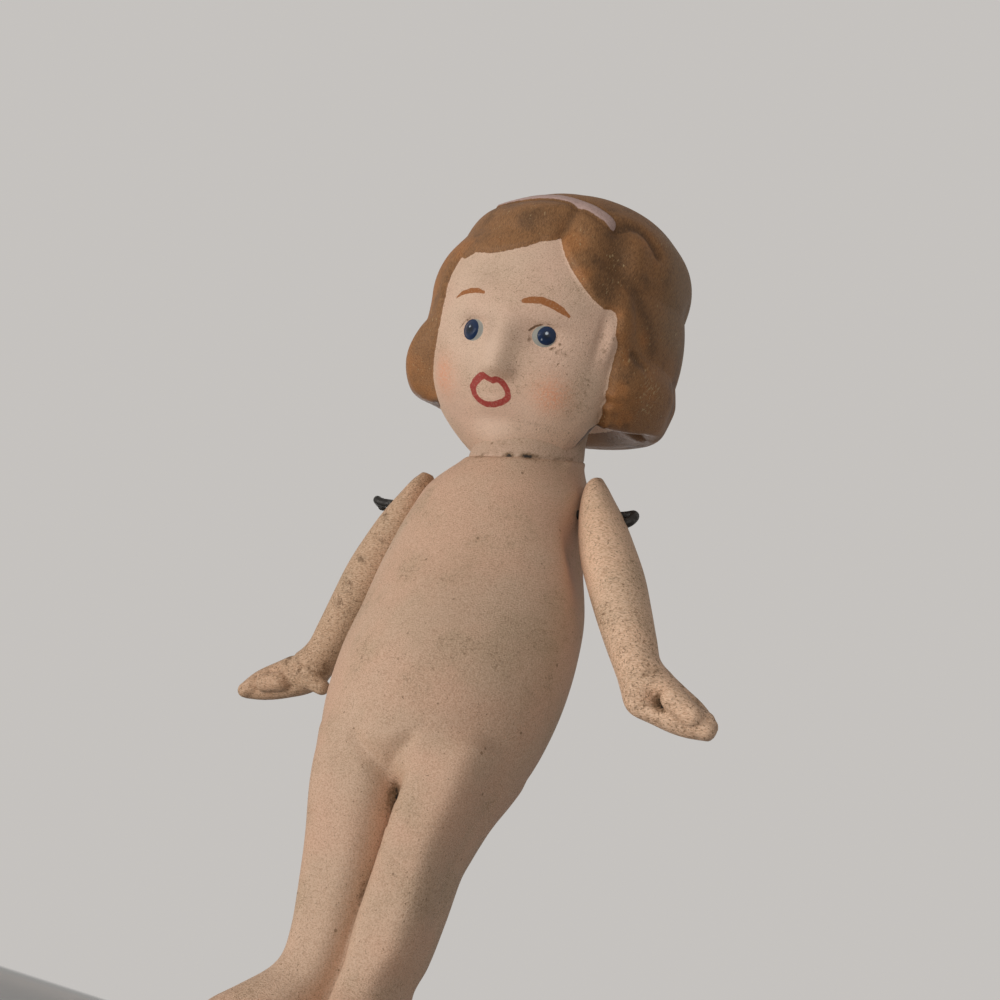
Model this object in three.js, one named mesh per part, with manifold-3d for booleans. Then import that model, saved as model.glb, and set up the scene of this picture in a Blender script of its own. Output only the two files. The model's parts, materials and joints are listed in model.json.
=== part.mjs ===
// Composition doll: pressed half shells for head and body, two swinging arms and the wire that carries them.
// Millimetres, +Z up. The doll stands on its soles at z = 0, faces -Y, and its own left is +X.
import * as THREE from 'three';
import { mergeVertices } from 'three/addons/utils/BufferGeometryUtils.js';
import Module from 'manifold-3d';

const wasm = await Module();
wasm.setup();

// Driving heights
const LEG_LENGTH = 40;
const TORSO_LENGTH = 56.5;
const SHOULDER_DROP = 10.4;
const HEAD_LIFT = 22.4;
const HEAD_FORWARD = 3.4;
const HEAD_ASIDE = 2.2;

// Driving widths and depths
const BELLY_HALF_WIDTH = 18.3;
const BELLY_HALF_DEPTH = 13.7;
const NECK_HALF_WIDTH = 10.2;
const NECK_HALF_DEPTH = 9.4;
const HEAD_HALF_WIDTH = 22.5;
const HEAD_HALF_DEPTH = 23.2;
const HEAD_HALF_HEIGHT = 25.5;
const HAIR_THICKNESS = 1.4;
const ARM_LENGTH = 42.5;
const ARM_TOP_REACH = 7.2;
const ARM_SPREAD = 28.6;
const ARM_HALF_WIDTH = 4.4;
const LEG_HALF_WIDTH = 7.6;
const FOOT_LENGTH = 20.2;

// Construction
const WALL = 3;
const SIDE_WALL = 5.5;
const WIRE_DIAMETER = 1.4;
const WIRE_LOOP_RADIUS = 1.05;
const NECK_SPIGOT_RADIUS = 7.2;
const NECK_SPIGOT_LENGTH = 4;
const SEAM_GAP = 0.3;
const JOINT_GAP = 0.3;
const WIRE_CLEARANCE = 0.25;
const ARM_CLEARANCE = 0.4;
const LOOP_CLEARANCE = 0.35;

// Set of the head on the neck, and of the arms at rest (degrees)
const NECK_SLOPE = 32;
const HEAD_NOD = 20;
const HEAD_TILT = 5.5;
const HEAD_TURN = 5;
const RIGHT_ARM_SWING = 18;
const LEFT_ARM_SWING = -8;

const NECK_Z = LEG_LENGTH + TORSO_LENGTH;
const WIRE_Z = NECK_Z - SHOULDER_DROP;
const NECK_CENTRE = new THREE.Vector3(0, 0, NECK_Z);
const HEAD_CENTRE = new THREE.Vector3(HEAD_ASIDE, -HEAD_FORWARD, NECK_Z + HEAD_LIFT);
const WIRE_RADIUS = WIRE_DIAMETER / 2;
const WIRE_BORE_RADIUS = WIRE_RADIUS + WIRE_CLEARANCE;
const SPOT_FACE_RADIUS = 2 * WIRE_LOOP_RADIUS + WIRE_DIAMETER + LOOP_CLEARANCE;
const ARM_SEAT_RADIUS = ARM_TOP_REACH + 2 * ARM_CLEARANCE;
const FAR = 4 * (NECK_Z + HEAD_LIFT);

const SKIN = { color: 0xc9a489, roughness: 0.75, metalness: 0 };
const HAIR = { color: 0x86583a, roughness: 0.6, metalness: 0 };
const IRON = { color: 0x2b2826, roughness: 0.55, metalness: 0.8 };

const radians = THREE.MathUtils.degToRad;
const degrees = THREE.MathUtils.radToDeg;
const smoothstep = THREE.MathUtils.smoothstep;
const lerp = THREE.MathUtils.lerp;

// A hump of height 1 that dies away past its width
const hump = (offset, width) => Math.exp(-((offset / width) ** 2));

// Smooth curve through [position, value] stations, held level past both ends
function profile(stations) {
  const xs = stations.map((station) => station[0]);
  const ys = stations.map((station) => station[1]);
  const last = xs.length - 1;
  const slope = (i) => {
    const a = Math.max(i - 1, 0);
    const b = Math.min(i + 1, last);
    return (ys[b] - ys[a]) / (xs[b] - xs[a]);
  };
  return (x) => {
    if (x <= xs[0]) return ys[0];
    if (x >= xs[last]) return ys[last];
    let i = 0;
    while (x > xs[i + 1]) i += 1;
    const span = xs[i + 1] - xs[i];
    const t = (x - xs[i]) / span;
    const rise = ys[i + 1] - ys[i];
    const start = slope(i) * span;
    const end = slope(i + 1) * span;
    return ys[i] + t * (start + t * (3 * rise - 2 * start - end + t * (start + end - 2 * rise)));
  };
}

// Moves every vertex of a merged three.js geometry
function shape(geometry, move) {
  geometry.deleteAttribute('normal');
  geometry.deleteAttribute('uv');
  const merged = mergeVertices(geometry);
  const position = merged.getAttribute('position');
  const point = new THREE.Vector3();
  for (let i = 0; i < position.count; i += 1) {
    const moved = move(point.fromBufferAttribute(position, i));
    position.setXYZ(i, moved.x, moved.y, moved.z);
  }
  return merged;
}

// Loft: place(along 0..1, angle from the front, 1 on the rim or 0 at a cap's centre) gives each point
function loft(sides, rings, place) {
  const cylinder = new THREE.CylinderGeometry(1, 1, 1, sides, rings);
  cylinder.rotateX(Math.PI / 2);
  return shape(cylinder, (p) => place(p.z + 0.5, Math.atan2(p.x, -p.y), Math.hypot(p.x, p.y)));
}

function solid(geometry) {
  const merged = shape(geometry, (p) => p);
  return new wasm.Manifold(new wasm.Mesh({
    numProp: 3,
    vertProperties: new Float32Array(merged.getAttribute('position').array),
    triVerts: new Uint32Array(merged.index.array),
  }));
}

function box(x0, x1, y0, y1, z0, z1) {
  const geometry = new THREE.BoxGeometry(x1 - x0, y1 - y0, z1 - z0);
  return solid(geometry.translate((x0 + x1) / 2, (y0 + y1) / 2, (z0 + z1) / 2));
}

function post(radius, z0, z1, sides = 32) {
  const geometry = new THREE.CylinderGeometry(radius, radius, z1 - z0, sides);
  return solid(geometry.rotateX(Math.PI / 2).translate(0, 0, (z0 + z1) / 2));
}

// Rod along X at the height of the wire
function crossRod(radius, x0, x1, sides = 16) {
  const geometry = new THREE.CylinderGeometry(radius, radius, x1 - x0, sides);
  return solid(geometry.rotateZ(Math.PI / 2).translate((x0 + x1) / 2, 0, WIRE_Z));
}

function mesh(name, body, finish) {
  const { vertProperties, triVerts } = body.getMesh();
  const geometry = new THREE.BufferGeometry();
  geometry.setAttribute('position', new THREE.BufferAttribute(new Float32Array(vertProperties), 3));
  geometry.setIndex(new THREE.BufferAttribute(new Uint32Array(triVerts), 1));
  geometry.computeVertexNormals();
  const result = new THREE.Mesh(geometry, new THREE.MeshStandardMaterial(finish));
  result.name = name;
  return result;
}

// Torso: half width, front and back depth as shares of the belly's, by share of the torso's length
const torsoWidth = profile([
  [-0.13, 0.3], [-0.07, 0.66], [0.0, 0.84], [0.08, 0.93], [0.18, 0.975], [0.29, 1], [0.41, 0.99],
  [0.53, 0.97], [0.655, 0.905], [0.78, 0.815], [0.87, 0.76], [0.92, 0.71], [0.96, 0.64], [1, 0.57],
]);
const torsoFront = profile([
  [-0.13, 0.2], [-0.07, 0.46], [-0.03, 0.72], [0.02, 0.9], [0.08, 0.98], [0.18, 1.03], [0.3, 1.05], [0.41, 1],
  [0.53, 0.93], [0.66, 0.88], [0.8, 0.84], [0.9, 0.8], [0.96, 0.74], [1, 0.7],
]);
const torsoBack = profile([
  [-0.13, 0.25], [-0.07, 0.66], [0, 0.96], [0.08, 1.06], [0.18, 1.03], [0.3, 0.96], [0.42, 0.97], [0.55, 1],
  [0.68, 0.98], [0.8, 0.93], [0.9, 0.85], [0.96, 0.77], [1, 0.72],
]);

const TORSO_BOTTOM_SHARE = -0.13;
const TORSO_SIDE = torsoWidth(1 - SHOULDER_DROP / TORSO_LENGTH) * BELLY_HALF_WIDTH;
const ARM_SEAT = TORSO_SIDE - ARM_CLEARANCE;

function torsoPoint(share, angle, rim, sideInset, inset) {
  const x = Math.sin(angle) * rim * (torsoWidth(share) * BELLY_HALF_WIDTH - sideInset);
  const depth = Math.cos(angle) > 0 ? torsoFront(share) : torsoBack(share);
  const y = -Math.cos(angle) * rim * (depth * BELLY_HALF_DEPTH - inset);
  const slope = Math.tan(radians(NECK_SLOPE)) * smoothstep(share, 0.6, 1);
  return new THREE.Vector3(x, y, LEG_LENGTH + share * TORSO_LENGTH + slope * y);
}

function torso() {
  const place = (along, angle, rim) => torsoPoint(lerp(TORSO_BOTTOM_SHARE, 1, along), angle, rim, 0, 0);
  return solid(loft(36, 18, place));
}

function torsoCavity() {
  const top = 1 - WALL / TORSO_LENGTH;
  const bottom = (2 * WALL) / TORSO_LENGTH;
  const place = (along, angle, rim) => torsoPoint(lerp(bottom, top, along), angle, rim, SIDE_WALL, WALL);
  return solid(loft(24, 9, place));
}

// Leg and foot: shares of the leg's half width, by share of the leg's length from the sole
const legWidth = profile([
  [0, 0.77], [0.08, 0.84], [0.18, 0.72], [0.28, 0.62], [0.38, 0.64], [0.55, 0.74], [0.72, 0.84], [0.9, 0.97],
  [1.1, 1.03], [1.24, 0.95],
]);
const legOffset = profile([
  [0, 0.86], [0.08, 0.86], [0.18, 0.72], [0.28, 0.62], [0.38, 0.65], [0.55, 0.72], [0.72, 0.78], [0.9, 0.88],
  [1.1, 0.98], [1.24, 1.0],
]);
const legFront = profile([
  [0, 1.68], [0.08, 1.72], [0.17, 1.42], [0.25, 1.14], [0.34, 1.06], [0.5, 1.18], [0.68, 1.34], [0.85, 1.48],
  [0.98, 1.52], [1.1, 1.4], [1.24, 1.1],
]);
const legBack = profile([
  [0, 0.95], [0.08, 1.04], [0.2, 0.98], [0.34, 0.94], [0.5, 1.02], [0.68, 1.16], [0.88, 1.6], [1.05, 1.7],
  [1.24, 1.4],
]);
const LEG_TOP_SHARE = 1.24;
const TOE_OUT = 0.16;

// The leg's profiles are written for a foot of this length; a longer one grows at the toes
const PROFILE_FOOT_LENGTH = 20.2;

function leg(side) {
  const place = (along, angle, rim) => {
    const share = along * LEG_TOP_SHARE;
    const toes = (FOOT_LENGTH - PROFILE_FOOT_LENGTH) * (1 - smoothstep(share, 0.05, 0.3));
    const front = LEG_HALF_WIDTH * legFront(share) + toes;
    const back = LEG_HALF_WIDTH * legBack(share);
    const middle = (back - front) / 2;
    const y = middle - Math.cos(angle) * rim * ((front + back) / 2);
    const toe = TOE_OUT * Math.max(-y, 0) * (1 - smoothstep(share, 0.1, 0.3));
    const x = LEG_HALF_WIDTH * (legOffset(share) + Math.sin(angle) * rim * legWidth(share)) + toe;
    return new THREE.Vector3(x, y, share * LEG_LENGTH);
  };
  const half = solid(loft(20, 15, place));
  return side > 0 ? half : half.mirror([1, 0, 0]);
}

// Head: relief on an ellipsoid, written in the head's own frame, angles in degrees from the front
const FACE_EDGE = [
  [13, 27], [19, 16], [29, 7], [40, 4], [46, 0], [50, -12], [52, -24], [60, -60], [60, -92], [-60, -92],
  [-46, -60], [-37, -30], [-39, -14], [-38, -2], [-35, 11], [-26, 16], [-10, 17], [4, 21],
];
const BOB_EDGE = -25;
const NAPE_DROP = 7;

// Signed distance into the hair, in degrees: outside the face's edge and above the bob's lower edge
function intoHair(lon, lat) {
  let nearest = Infinity;
  let inside = false;
  FACE_EDGE.forEach(([ax, ay], i) => {
    const [bx, by] = FACE_EDGE[(i + 1) % FACE_EDGE.length];
    const share = ((lon - ax) * (bx - ax) + (lat - ay) * (by - ay)) / ((bx - ax) ** 2 + (by - ay) ** 2);
    const t = THREE.MathUtils.clamp(share, 0, 1);
    nearest = Math.min(nearest, Math.hypot(lon - lerp(ax, bx, t), lat - lerp(ay, by, t)));
    if ((ay > lat) !== (by > lat) && lon < ax + ((lat - ay) / (by - ay)) * (bx - ax)) inside = !inside;
  });
  const edge = BOB_EDGE - NAPE_DROP * smoothstep(Math.abs(lon), 150, 180);
  return Math.min(inside ? -nearest : nearest, lat - edge);
}

// Hair's reach by latitude as a share of the head's own outline at the equator: crown, waist and flare
const hairReach = profile([
  [-40, 1.19], [-24, 1.175], [-20, 1.14], [-14, 1.06], [-7, 0.985], [0, 0.965], [10, 1.01], [19, 1.05],
  [30, 1.112], [41, 1.175], [54, 1.168], [66, 1.14], [78, 1.115], [90, 1.105],
]);

function ellipsoid(direction, inset) {
  const { x, y, z } = direction;
  const a = HEAD_HALF_WIDTH - inset;
  const b = HEAD_HALF_DEPTH - inset;
  const c = HEAD_HALF_HEIGHT - inset;
  return 1 / Math.sqrt((x / a) ** 2 + (y / b) ** 2 + (z / c) ** 2);
}

// The relief is written for a head of this half width and grows with the head
const RELIEF_HALF_WIDTH = 23.2;
const RELIEF_SCALE = HEAD_HALF_WIDTH / RELIEF_HALF_WIDTH;

// Face relief in millimetres at a point seen from the front
function faceRelief(x, z) {
  const side = Math.abs(x);
  const nose = 2.3 * hump(x, 2) * hump(z + 11.6, 2) + 0.8 * hump(x, 1.8) * hump(z + 8, 3.5);
  const sockets = -0.9 * hump(side - 6.2, 3) * hump(z + 6.2, 2.4);
  const cheeks = 0.9 * hump(side - 9.5, 5) * hump(z + 14, 4.5);
  const lips = 0.7 * hump(x, 3) * hump(z + 15.8, 1.7) - 0.5 * hump(x, 4) * hump(z + 18.8, 1.2);
  const chin = 1.3 * hump(x, 4.5) * hump(z + 21.2, 2.4);
  return nose + sockets + cheeks + lips + chin;
}

function headRadius(direction) {
  const lon = degrees(Math.atan2(direction.x, -direction.y));
  const lat = degrees(Math.asin(THREE.MathUtils.clamp(direction.z, -1, 1)));
  const flesh = ellipsoid(direction, 0);
  const front = smoothstep(-direction.y, 0, 0.5) * RELIEF_SCALE;
  const [faceX, faceZ] = [direction.x, direction.z].map((share) => (share * flesh) / RELIEF_SCALE);
  const nape = 0.34 * smoothstep(Math.abs(lon), 45, 100) * smoothstep(-lat, 12, 34);
  const ear = 0.9 * RELIEF_SCALE * hump(lon - 46, 4) * hump(lat + 10, 10);
  const skin = (flesh + front * faceRelief(faceX, faceZ) + ear) * (1 - nape);
  const oval = ellipsoid(new THREE.Vector3(direction.x, direction.y, 0).normalize(), 0);
  const sway = 60 * Math.cos(radians(3 * lon));
  const waves = 0.3 * RELIEF_SCALE * Math.sin(radians(lat * 9 + sway)) * (1 - smoothstep(lat, 20, 50));
  const parting = -0.8 * hump(lon - 14, 6) * smoothstep(lat, 24, 34) * (1 - smoothstep(lat, 50, 70));
  const lip = (flesh + 0.6 * HAIR_THICKNESS) * (1 - smoothstep(Math.abs(lon), 45, 70));
  const forward = 0.5 + 0.5 * Math.cos(radians(lon + 25));
  const behind = smoothstep(Math.abs(lon), 125, 175);
  const fall = 0.035 * hump(lat - 2, 9) - 0.05 * hump(lat + 24, 10);
  const crown = oval * hairReach(lat) * (1 + behind * fall - 0.075 * forward * hump(lat - 48, 24));
  const hair = Math.max(crown, lip) + waves + parting;
  const above = direction.clone().multiplyScalar(hair);
  const across = 1 - smoothstep(Math.abs(above.x), 10, 12);
  const band = 0.5 * hump(above.y + 12, 1.3) * across * smoothstep(lat, 25, 35);
  return lerp(skin, hair + band, smoothstep(intoHair(lon, lat), -2, 3));
}

const headTurn = new THREE.Matrix4()
  .makeRotationZ(radians(HEAD_TURN))
  .multiply(new THREE.Matrix4().makeRotationY(radians(HEAD_TILT)))
  .multiply(new THREE.Matrix4().makeRotationX(radians(HEAD_NOD)));

// Ball whose columns crowd towards the face
function headBall(columns, rows, crowding, radius) {
  const ball = new THREE.SphereGeometry(1, columns, rows);
  ball.rotateX(Math.PI / 2);
  return solid(shape(ball, (p) => {
    const flat = Math.hypot(p.x, p.y);
    const lon = Math.atan2(p.x, -p.y);
    const crowded = lon - crowding * Math.sin(lon);
    const direction = new THREE.Vector3(Math.sin(crowded) * flat, -Math.cos(crowded) * flat, p.z);
    return direction.multiplyScalar(radius(direction)).applyMatrix4(headTurn).add(HEAD_CENTRE);
  }));
}

// Turns a shape made upright on the origin to stand on the sloping neck joint
function onNeck(body) {
  return body.rotate([NECK_SLOPE, 0, 0]).translate(NECK_CENTRE.toArray());
}

// Neck column from its sloping foot up into the head
function neckColumn(sides) {
  return solid(loft(sides, 4, (along, angle, rim) => {
    const waist = 1 - 0.1 * Math.sin(Math.PI * Math.min(2 * along, 1));
    const x = Math.sin(angle) * rim * NECK_HALF_WIDTH * waist;
    const y = -Math.cos(angle) * rim * NECK_HALF_DEPTH * waist;
    const foot = new THREE.Vector3(x, y, Math.tan(radians(NECK_SLOPE)) * y - WALL).add(NECK_CENTRE);
    const top = new THREE.Vector3(x, y, 0).add(HEAD_CENTRE);
    return foot.lerp(top, along);
  }));
}

function head() {
  const above = onNeck(box(-FAR, FAR, -FAR, FAR, JOINT_GAP, FAR));
  const shell = headBall(50, 36, 0.42, headRadius).add(neckColumn(32)).intersect(above);
  const spigot = onNeck(post(NECK_SPIGOT_RADIUS, -NECK_SPIGOT_LENGTH, NECK_SPIGOT_LENGTH));
  const bore = onNeck(post(NECK_SPIGOT_RADIUS - WALL, -2 * NECK_SPIGOT_LENGTH, HEAD_LIFT / 2, 20));
  const hollow = (direction) => Math.min(ellipsoid(direction, WALL), headRadius(direction) - WALL);
  const cavity = headBall(22, 12, 0, hollow);
  return shell.add(spigot).subtract(bore).subtract(cavity);
}

function body() {
  const outer = torso().add(leg(1)).add(leg(-1));
  const collar = onNeck(post(NECK_SPIGOT_RADIUS + JOINT_GAP, -2 * NECK_SPIGOT_LENGTH, FAR));
  const notch = crossRod(WIRE_BORE_RADIUS, -FAR, FAR);
  const leftSeat = crossRod(ARM_SEAT_RADIUS, ARM_SEAT, FAR, 32);
  const rightSeat = crossRod(ARM_SEAT_RADIUS, -FAR, -ARM_SEAT, 32);
  const shell = outer.subtract(torsoCavity()).subtract(collar);
  return shell.subtract(notch).subtract(leftSeat).subtract(rightSeat);
}

// The two halves of a pressed shell, parted at the seam plane
function halves(name, shell, finishes) {
  const front = shell.intersect(box(-FAR, FAR, -FAR, -SEAM_GAP / 2, -FAR, FAR));
  const back = shell.intersect(box(-FAR, FAR, SEAM_GAP / 2, FAR, -FAR, FAR));
  return [mesh(`${name}_front_half`, front, finishes.front), mesh(`${name}_back_half`, back, finishes.back)];
}

// Arm: how far out and how far down the middle line runs, and its half width and depth, along its length
const armOut = profile([
  [0, 0.031], [0.05, 0.042], [0.12, 0.08], [0.21, 0.147], [0.31, 0.224], [0.43, 0.325], [0.54, 0.416],
  [0.65, 0.503], [0.74, 0.573], [0.82, 0.661], [0.89, 0.776], [0.95, 0.892], [1, 1],
]);
const aboveHinge = [[0, -1], [0.05, -0.72], [0.12, -0.25]];
const belowHinge = [
  [0.21, 0.074], [0.31, 0.21], [0.43, 0.366], [0.54, 0.517], [0.65, 0.659], [0.74, 0.767], [0.82, 0.858],
  [0.89, 0.915], [0.95, 0.96], [1, 1],
];
const armDown = profile([
  ...aboveHinge.map(([along, share]) => [along, share * ARM_TOP_REACH]),
  ...belowHinge.map(([along, share]) => [along, share * (ARM_LENGTH - ARM_TOP_REACH)]),
]);
const armWidth = profile([
  [0, 0.2], [0.05, 0.42], [0.12, 0.65], [0.21, 0.86], [0.31, 0.98], [0.43, 1], [0.54, 0.93], [0.65, 0.83],
  [0.74, 0.75], [0.82, 0.85], [0.89, 0.76], [0.95, 0.52], [1, 0.16],
]);
const armDepth = profile([
  [0, 0.3], [0.05, 0.68], [0.12, 0.9], [0.21, 1.02], [0.31, 1.06], [0.43, 1.04], [0.54, 0.96], [0.65, 0.84],
  [0.74, 0.74], [0.82, 0.76], [0.89, 0.64], [0.95, 0.46], [1, 0.2],
]);
const ARM_INSIDE = TORSO_SIDE + ARM_CLEARANCE;
const HINGE_SHARE = 0.16;
const ARM_FACE = ARM_INSIDE + armOut(HINGE_SHARE) * ARM_SPREAD + armWidth(HINGE_SHARE) * ARM_HALF_WIDTH;

function arm(side, swing) {
  const place = (along, angle, rim) => {
    const step = 0.02;
    const run = (armOut(along + step) - armOut(along - step)) * ARM_SPREAD;
    const fall = armDown(along + step) - armDown(along - step);
    const tangent = new THREE.Vector2(run, fall).normalize();
    const across = Math.sin(angle) * rim;
    const offset = across * ARM_HALF_WIDTH * armWidth(along);
    return new THREE.Vector3(
      ARM_INSIDE + armOut(along) * ARM_SPREAD + offset * tangent.y,
      -Math.cos(angle) * rim * ARM_HALF_WIDTH * armDepth(along),
      offset * tangent.x - armDown(along),
    );
  };
  const upright = solid(loft(16, 22, (up, angle, rim) => place(1 - up, angle, rim)));
  const sided = side > 0 ? upright : upright.mirror([1, 0, 0]);
  const swung = sided.rotate([swing, 0, 0]).translate([0, 0, WIRE_Z]);
  const reach = [side * ARM_FACE, side * FAR].sort((a, b) => a - b);
  const spotFace = crossRod(SPOT_FACE_RADIUS, ...reach, 24);
  return swung.subtract(crossRod(WIRE_BORE_RADIUS, -FAR, FAR)).subtract(spotFace);
}

// One iron wire through both shoulders, each end turned back into a tight loop
const WIRE_REACH = ARM_FACE + LOOP_CLEARANCE + WIRE_RADIUS;
const LOOP_TURN = 265;

// Loop at the wire's end: bent up from the axis by the first angle, and turned about it by the second
function wireLoop(side, bend, turn) {
  const out = new THREE.Vector3(side * Math.cos(radians(bend)), 0, Math.sin(radians(bend)));
  const aside = new THREE.Vector3(0, -Math.cos(radians(turn)), Math.sin(radians(turn)));
  const start = new THREE.Vector3(side * WIRE_REACH, 0, WIRE_Z);
  const centre = start.clone().addScaledVector(out, WIRE_RADIUS).addScaledVector(aside, WIRE_LOOP_RADIUS);
  const lead = [2, 1, 0.4].map((share) => start.clone().setX(side * (WIRE_REACH - share * WIRE_DIAMETER)));
  const points = [...lead, start];
  for (let angle = 20; angle <= LOOP_TURN; angle += 35) {
    const point = centre.clone().addScaledVector(out, WIRE_LOOP_RADIUS * Math.sin(radians(angle)));
    points.push(point.addScaledVector(aside, -WIRE_LOOP_RADIUS * Math.cos(radians(angle))));
  }
  const section = new THREE.Shape().absarc(0, 0, WIRE_RADIUS, 0, 2 * Math.PI);
  const extrudePath = new THREE.CatmullRomCurve3(points);
  return solid(new THREE.ExtrudeGeometry(section, { steps: 20, curveSegments: 4, extrudePath }));
}

function wire() {
  const rod = crossRod(WIRE_RADIUS, -WIRE_REACH + WIRE_DIAMETER, WIRE_REACH - WIRE_DIAMETER, 10);
  return rod.add(wireLoop(-1, 40, 0)).add(wireLoop(1, 0, 50));
}

const pieces = [
  ...halves('head', head(), { front: SKIN, back: HAIR }),
  ...halves('body', body(), { front: SKIN, back: SKIN }),
  mesh('right_arm', arm(-1, RIGHT_ARM_SWING), SKIN),
  mesh('left_arm', arm(1, LEFT_ARM_SWING), SKIN),
  mesh('arm_wire', wire(), IRON),
];

// The part's origin is the middle of its foot: the bounding box's bottom centre
const figure = new THREE.Group().add(...pieces);
const middle = new THREE.Box3().setFromObject(figure).getCenter(new THREE.Vector3());
figure.position.set(-middle.x, -middle.y, 0);

export default new THREE.Group().add(figure);
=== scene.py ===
"""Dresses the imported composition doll: painted head, painted body, two painted arms and an iron arm wire.

Forms are worked out in millimetres in the doll's own frame: +Z is up, the doll faces -Y, its left is +X,
and the arm wire crosses the body at y = 0. They are written to meshes in metres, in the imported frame.
"""

import json
import logging
import math
from collections.abc import Callable, Iterator, Sequence
from contextlib import contextmanager
from dataclasses import dataclass, replace
from enum import Enum
from typing import Union

import bmesh
import bpy
import numpy as np
from mathutils import Matrix, Vector
from mathutils.kdtree import KDTree

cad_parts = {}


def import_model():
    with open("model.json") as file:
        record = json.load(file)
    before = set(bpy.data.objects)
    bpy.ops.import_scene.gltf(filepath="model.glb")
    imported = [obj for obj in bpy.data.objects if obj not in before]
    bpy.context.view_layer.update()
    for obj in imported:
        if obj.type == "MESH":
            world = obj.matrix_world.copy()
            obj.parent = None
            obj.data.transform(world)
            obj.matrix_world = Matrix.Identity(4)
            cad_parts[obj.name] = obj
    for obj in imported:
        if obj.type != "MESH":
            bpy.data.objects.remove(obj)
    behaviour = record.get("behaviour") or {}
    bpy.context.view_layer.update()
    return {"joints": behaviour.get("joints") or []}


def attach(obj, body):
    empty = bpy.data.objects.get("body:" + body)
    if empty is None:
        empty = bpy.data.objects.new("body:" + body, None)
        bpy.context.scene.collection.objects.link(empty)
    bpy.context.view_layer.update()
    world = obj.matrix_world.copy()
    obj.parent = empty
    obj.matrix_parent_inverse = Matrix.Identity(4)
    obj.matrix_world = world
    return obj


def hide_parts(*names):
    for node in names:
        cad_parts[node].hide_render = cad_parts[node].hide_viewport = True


LOG = logging.getLogger("composition_doll")
METRES = 0.001
TINY = 1e-6
WELD_DISTANCE = 1e-7

# Sockets of a Mix node that mixes colours: share, two inputs and the result
MIX_SHARE, MIX_UNDER, MIX_OVER, MIX_RESULT = 0, 6, 7, 2

# Millimetres on the head for one degree, and a distance past the edge of everything painted on it
HEAD_DEGREE = 0.41
FAR_OFF = 9.0

Array = np.ndarray
Socket = bpy.types.NodeSocket
Colour = tuple[float, float, float]
Level = Union[Socket, float]
Paint = Union[Socket, Colour]
Inputs = dict[Union[str, int], Union[Level, Paint]]
Pair = tuple[float, float]
Triple = tuple[float, float, float]
Patches = tuple[tuple[float, float, float, float, float], ...]


def hump(offset: Array, width: float) -> Array:
    """Height 1 at no offset, dying away past the width."""
    return np.exp(-((offset / width) ** 2))


def step(value: Array, low: float, high: float) -> Array:
    """Smooth climb from 0 at low to 1 at high."""
    share = np.clip((value - low) / (high - low), 0.0, 1.0)
    return share * share * (3.0 - 2.0 * share)


def mix(first: Array, second: Array, share: Array) -> Array:
    """Straight mix of two values."""
    return first + (second - first) * share


def soft_patches(x: Array, y: Array, patches: Patches) -> list[Array]:
    """Strength at each place of soft patches given as (x, y, width, height, level)."""
    return [level * hump(x - at, width) * hump(y - up, height) for at, up, width, height, level in patches]


def line_gap(x: Array, y: Array, start: Pair, end: Pair) -> Array:
    """Distance from places to the straight stretch between two ends."""
    (ax, ay), (bx, by) = start, end
    share = ((x - ax) * (bx - ax) + (y - ay) * (by - ay)) / ((bx - ax) ** 2 + (by - ay) ** 2)
    share = np.clip(share, 0.0, 1.0)
    return np.hypot(x - mix(ax, bx, share), y - mix(ay, by, share))


def soft_union(first: Array, second: Array, reach: float) -> Array:
    """Joins two distance fields with a fillet.

    Args:
        first: Distances to one form, negative inside.
        second: Distances to the other form.
        reach: Size of the fillet in millimetres.

    Returns:
        Distances to the joined form.
    """
    near = np.clip(0.5 + 0.5 * (second - first) / reach, 0.0, 1.0)
    return mix(second, first, near) - reach * near * (1.0 - near)


def ellipse_distance(
    x: Array, y: Array, half_width: "Array | float", half_depth: "Array | float", power: "Array | float" = 2.0
) -> Array:
    """Near distance from points to an ellipse about the origin.

    Args:
        x: Places across.
        y: Places along.
        half_width: Half size across.
        half_depth: Half size along.
        power: 2 for a true ellipse, more for a squarer one.

    Returns:
        Distances, negative inside.
    """
    u = np.abs(x / half_width)
    v = np.abs(y / half_depth)
    around = np.maximum((u**power + v**power) ** (1.0 / power), TINY)
    across = u ** (power - 1.0) / half_width
    along = v ** (power - 1.0) / half_depth
    slope = np.hypot(across, along) * around ** (1.0 - power)
    return (around - 1.0) / np.maximum(slope, TINY)


def turn_about_x(degrees: float) -> Array:
    """Matrix of a turn about X."""
    return np.array(Matrix.Rotation(math.radians(degrees), 3, "X"))


@contextmanager
def opened(mesh: bpy.types.Mesh) -> Iterator[bmesh.types.BMesh]:
    """Opens a mesh for changes and writes it back afterwards."""
    shape = bmesh.new()
    shape.from_mesh(mesh)
    yield shape
    shape.to_mesh(mesh)
    shape.free()


def add(name: str, data: bpy.types.ID) -> bpy.types.Object:
    """Adds an object to the scene."""
    made = bpy.data.objects.new(name, data)
    bpy.context.scene.collection.objects.link(made)
    return made


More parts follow.
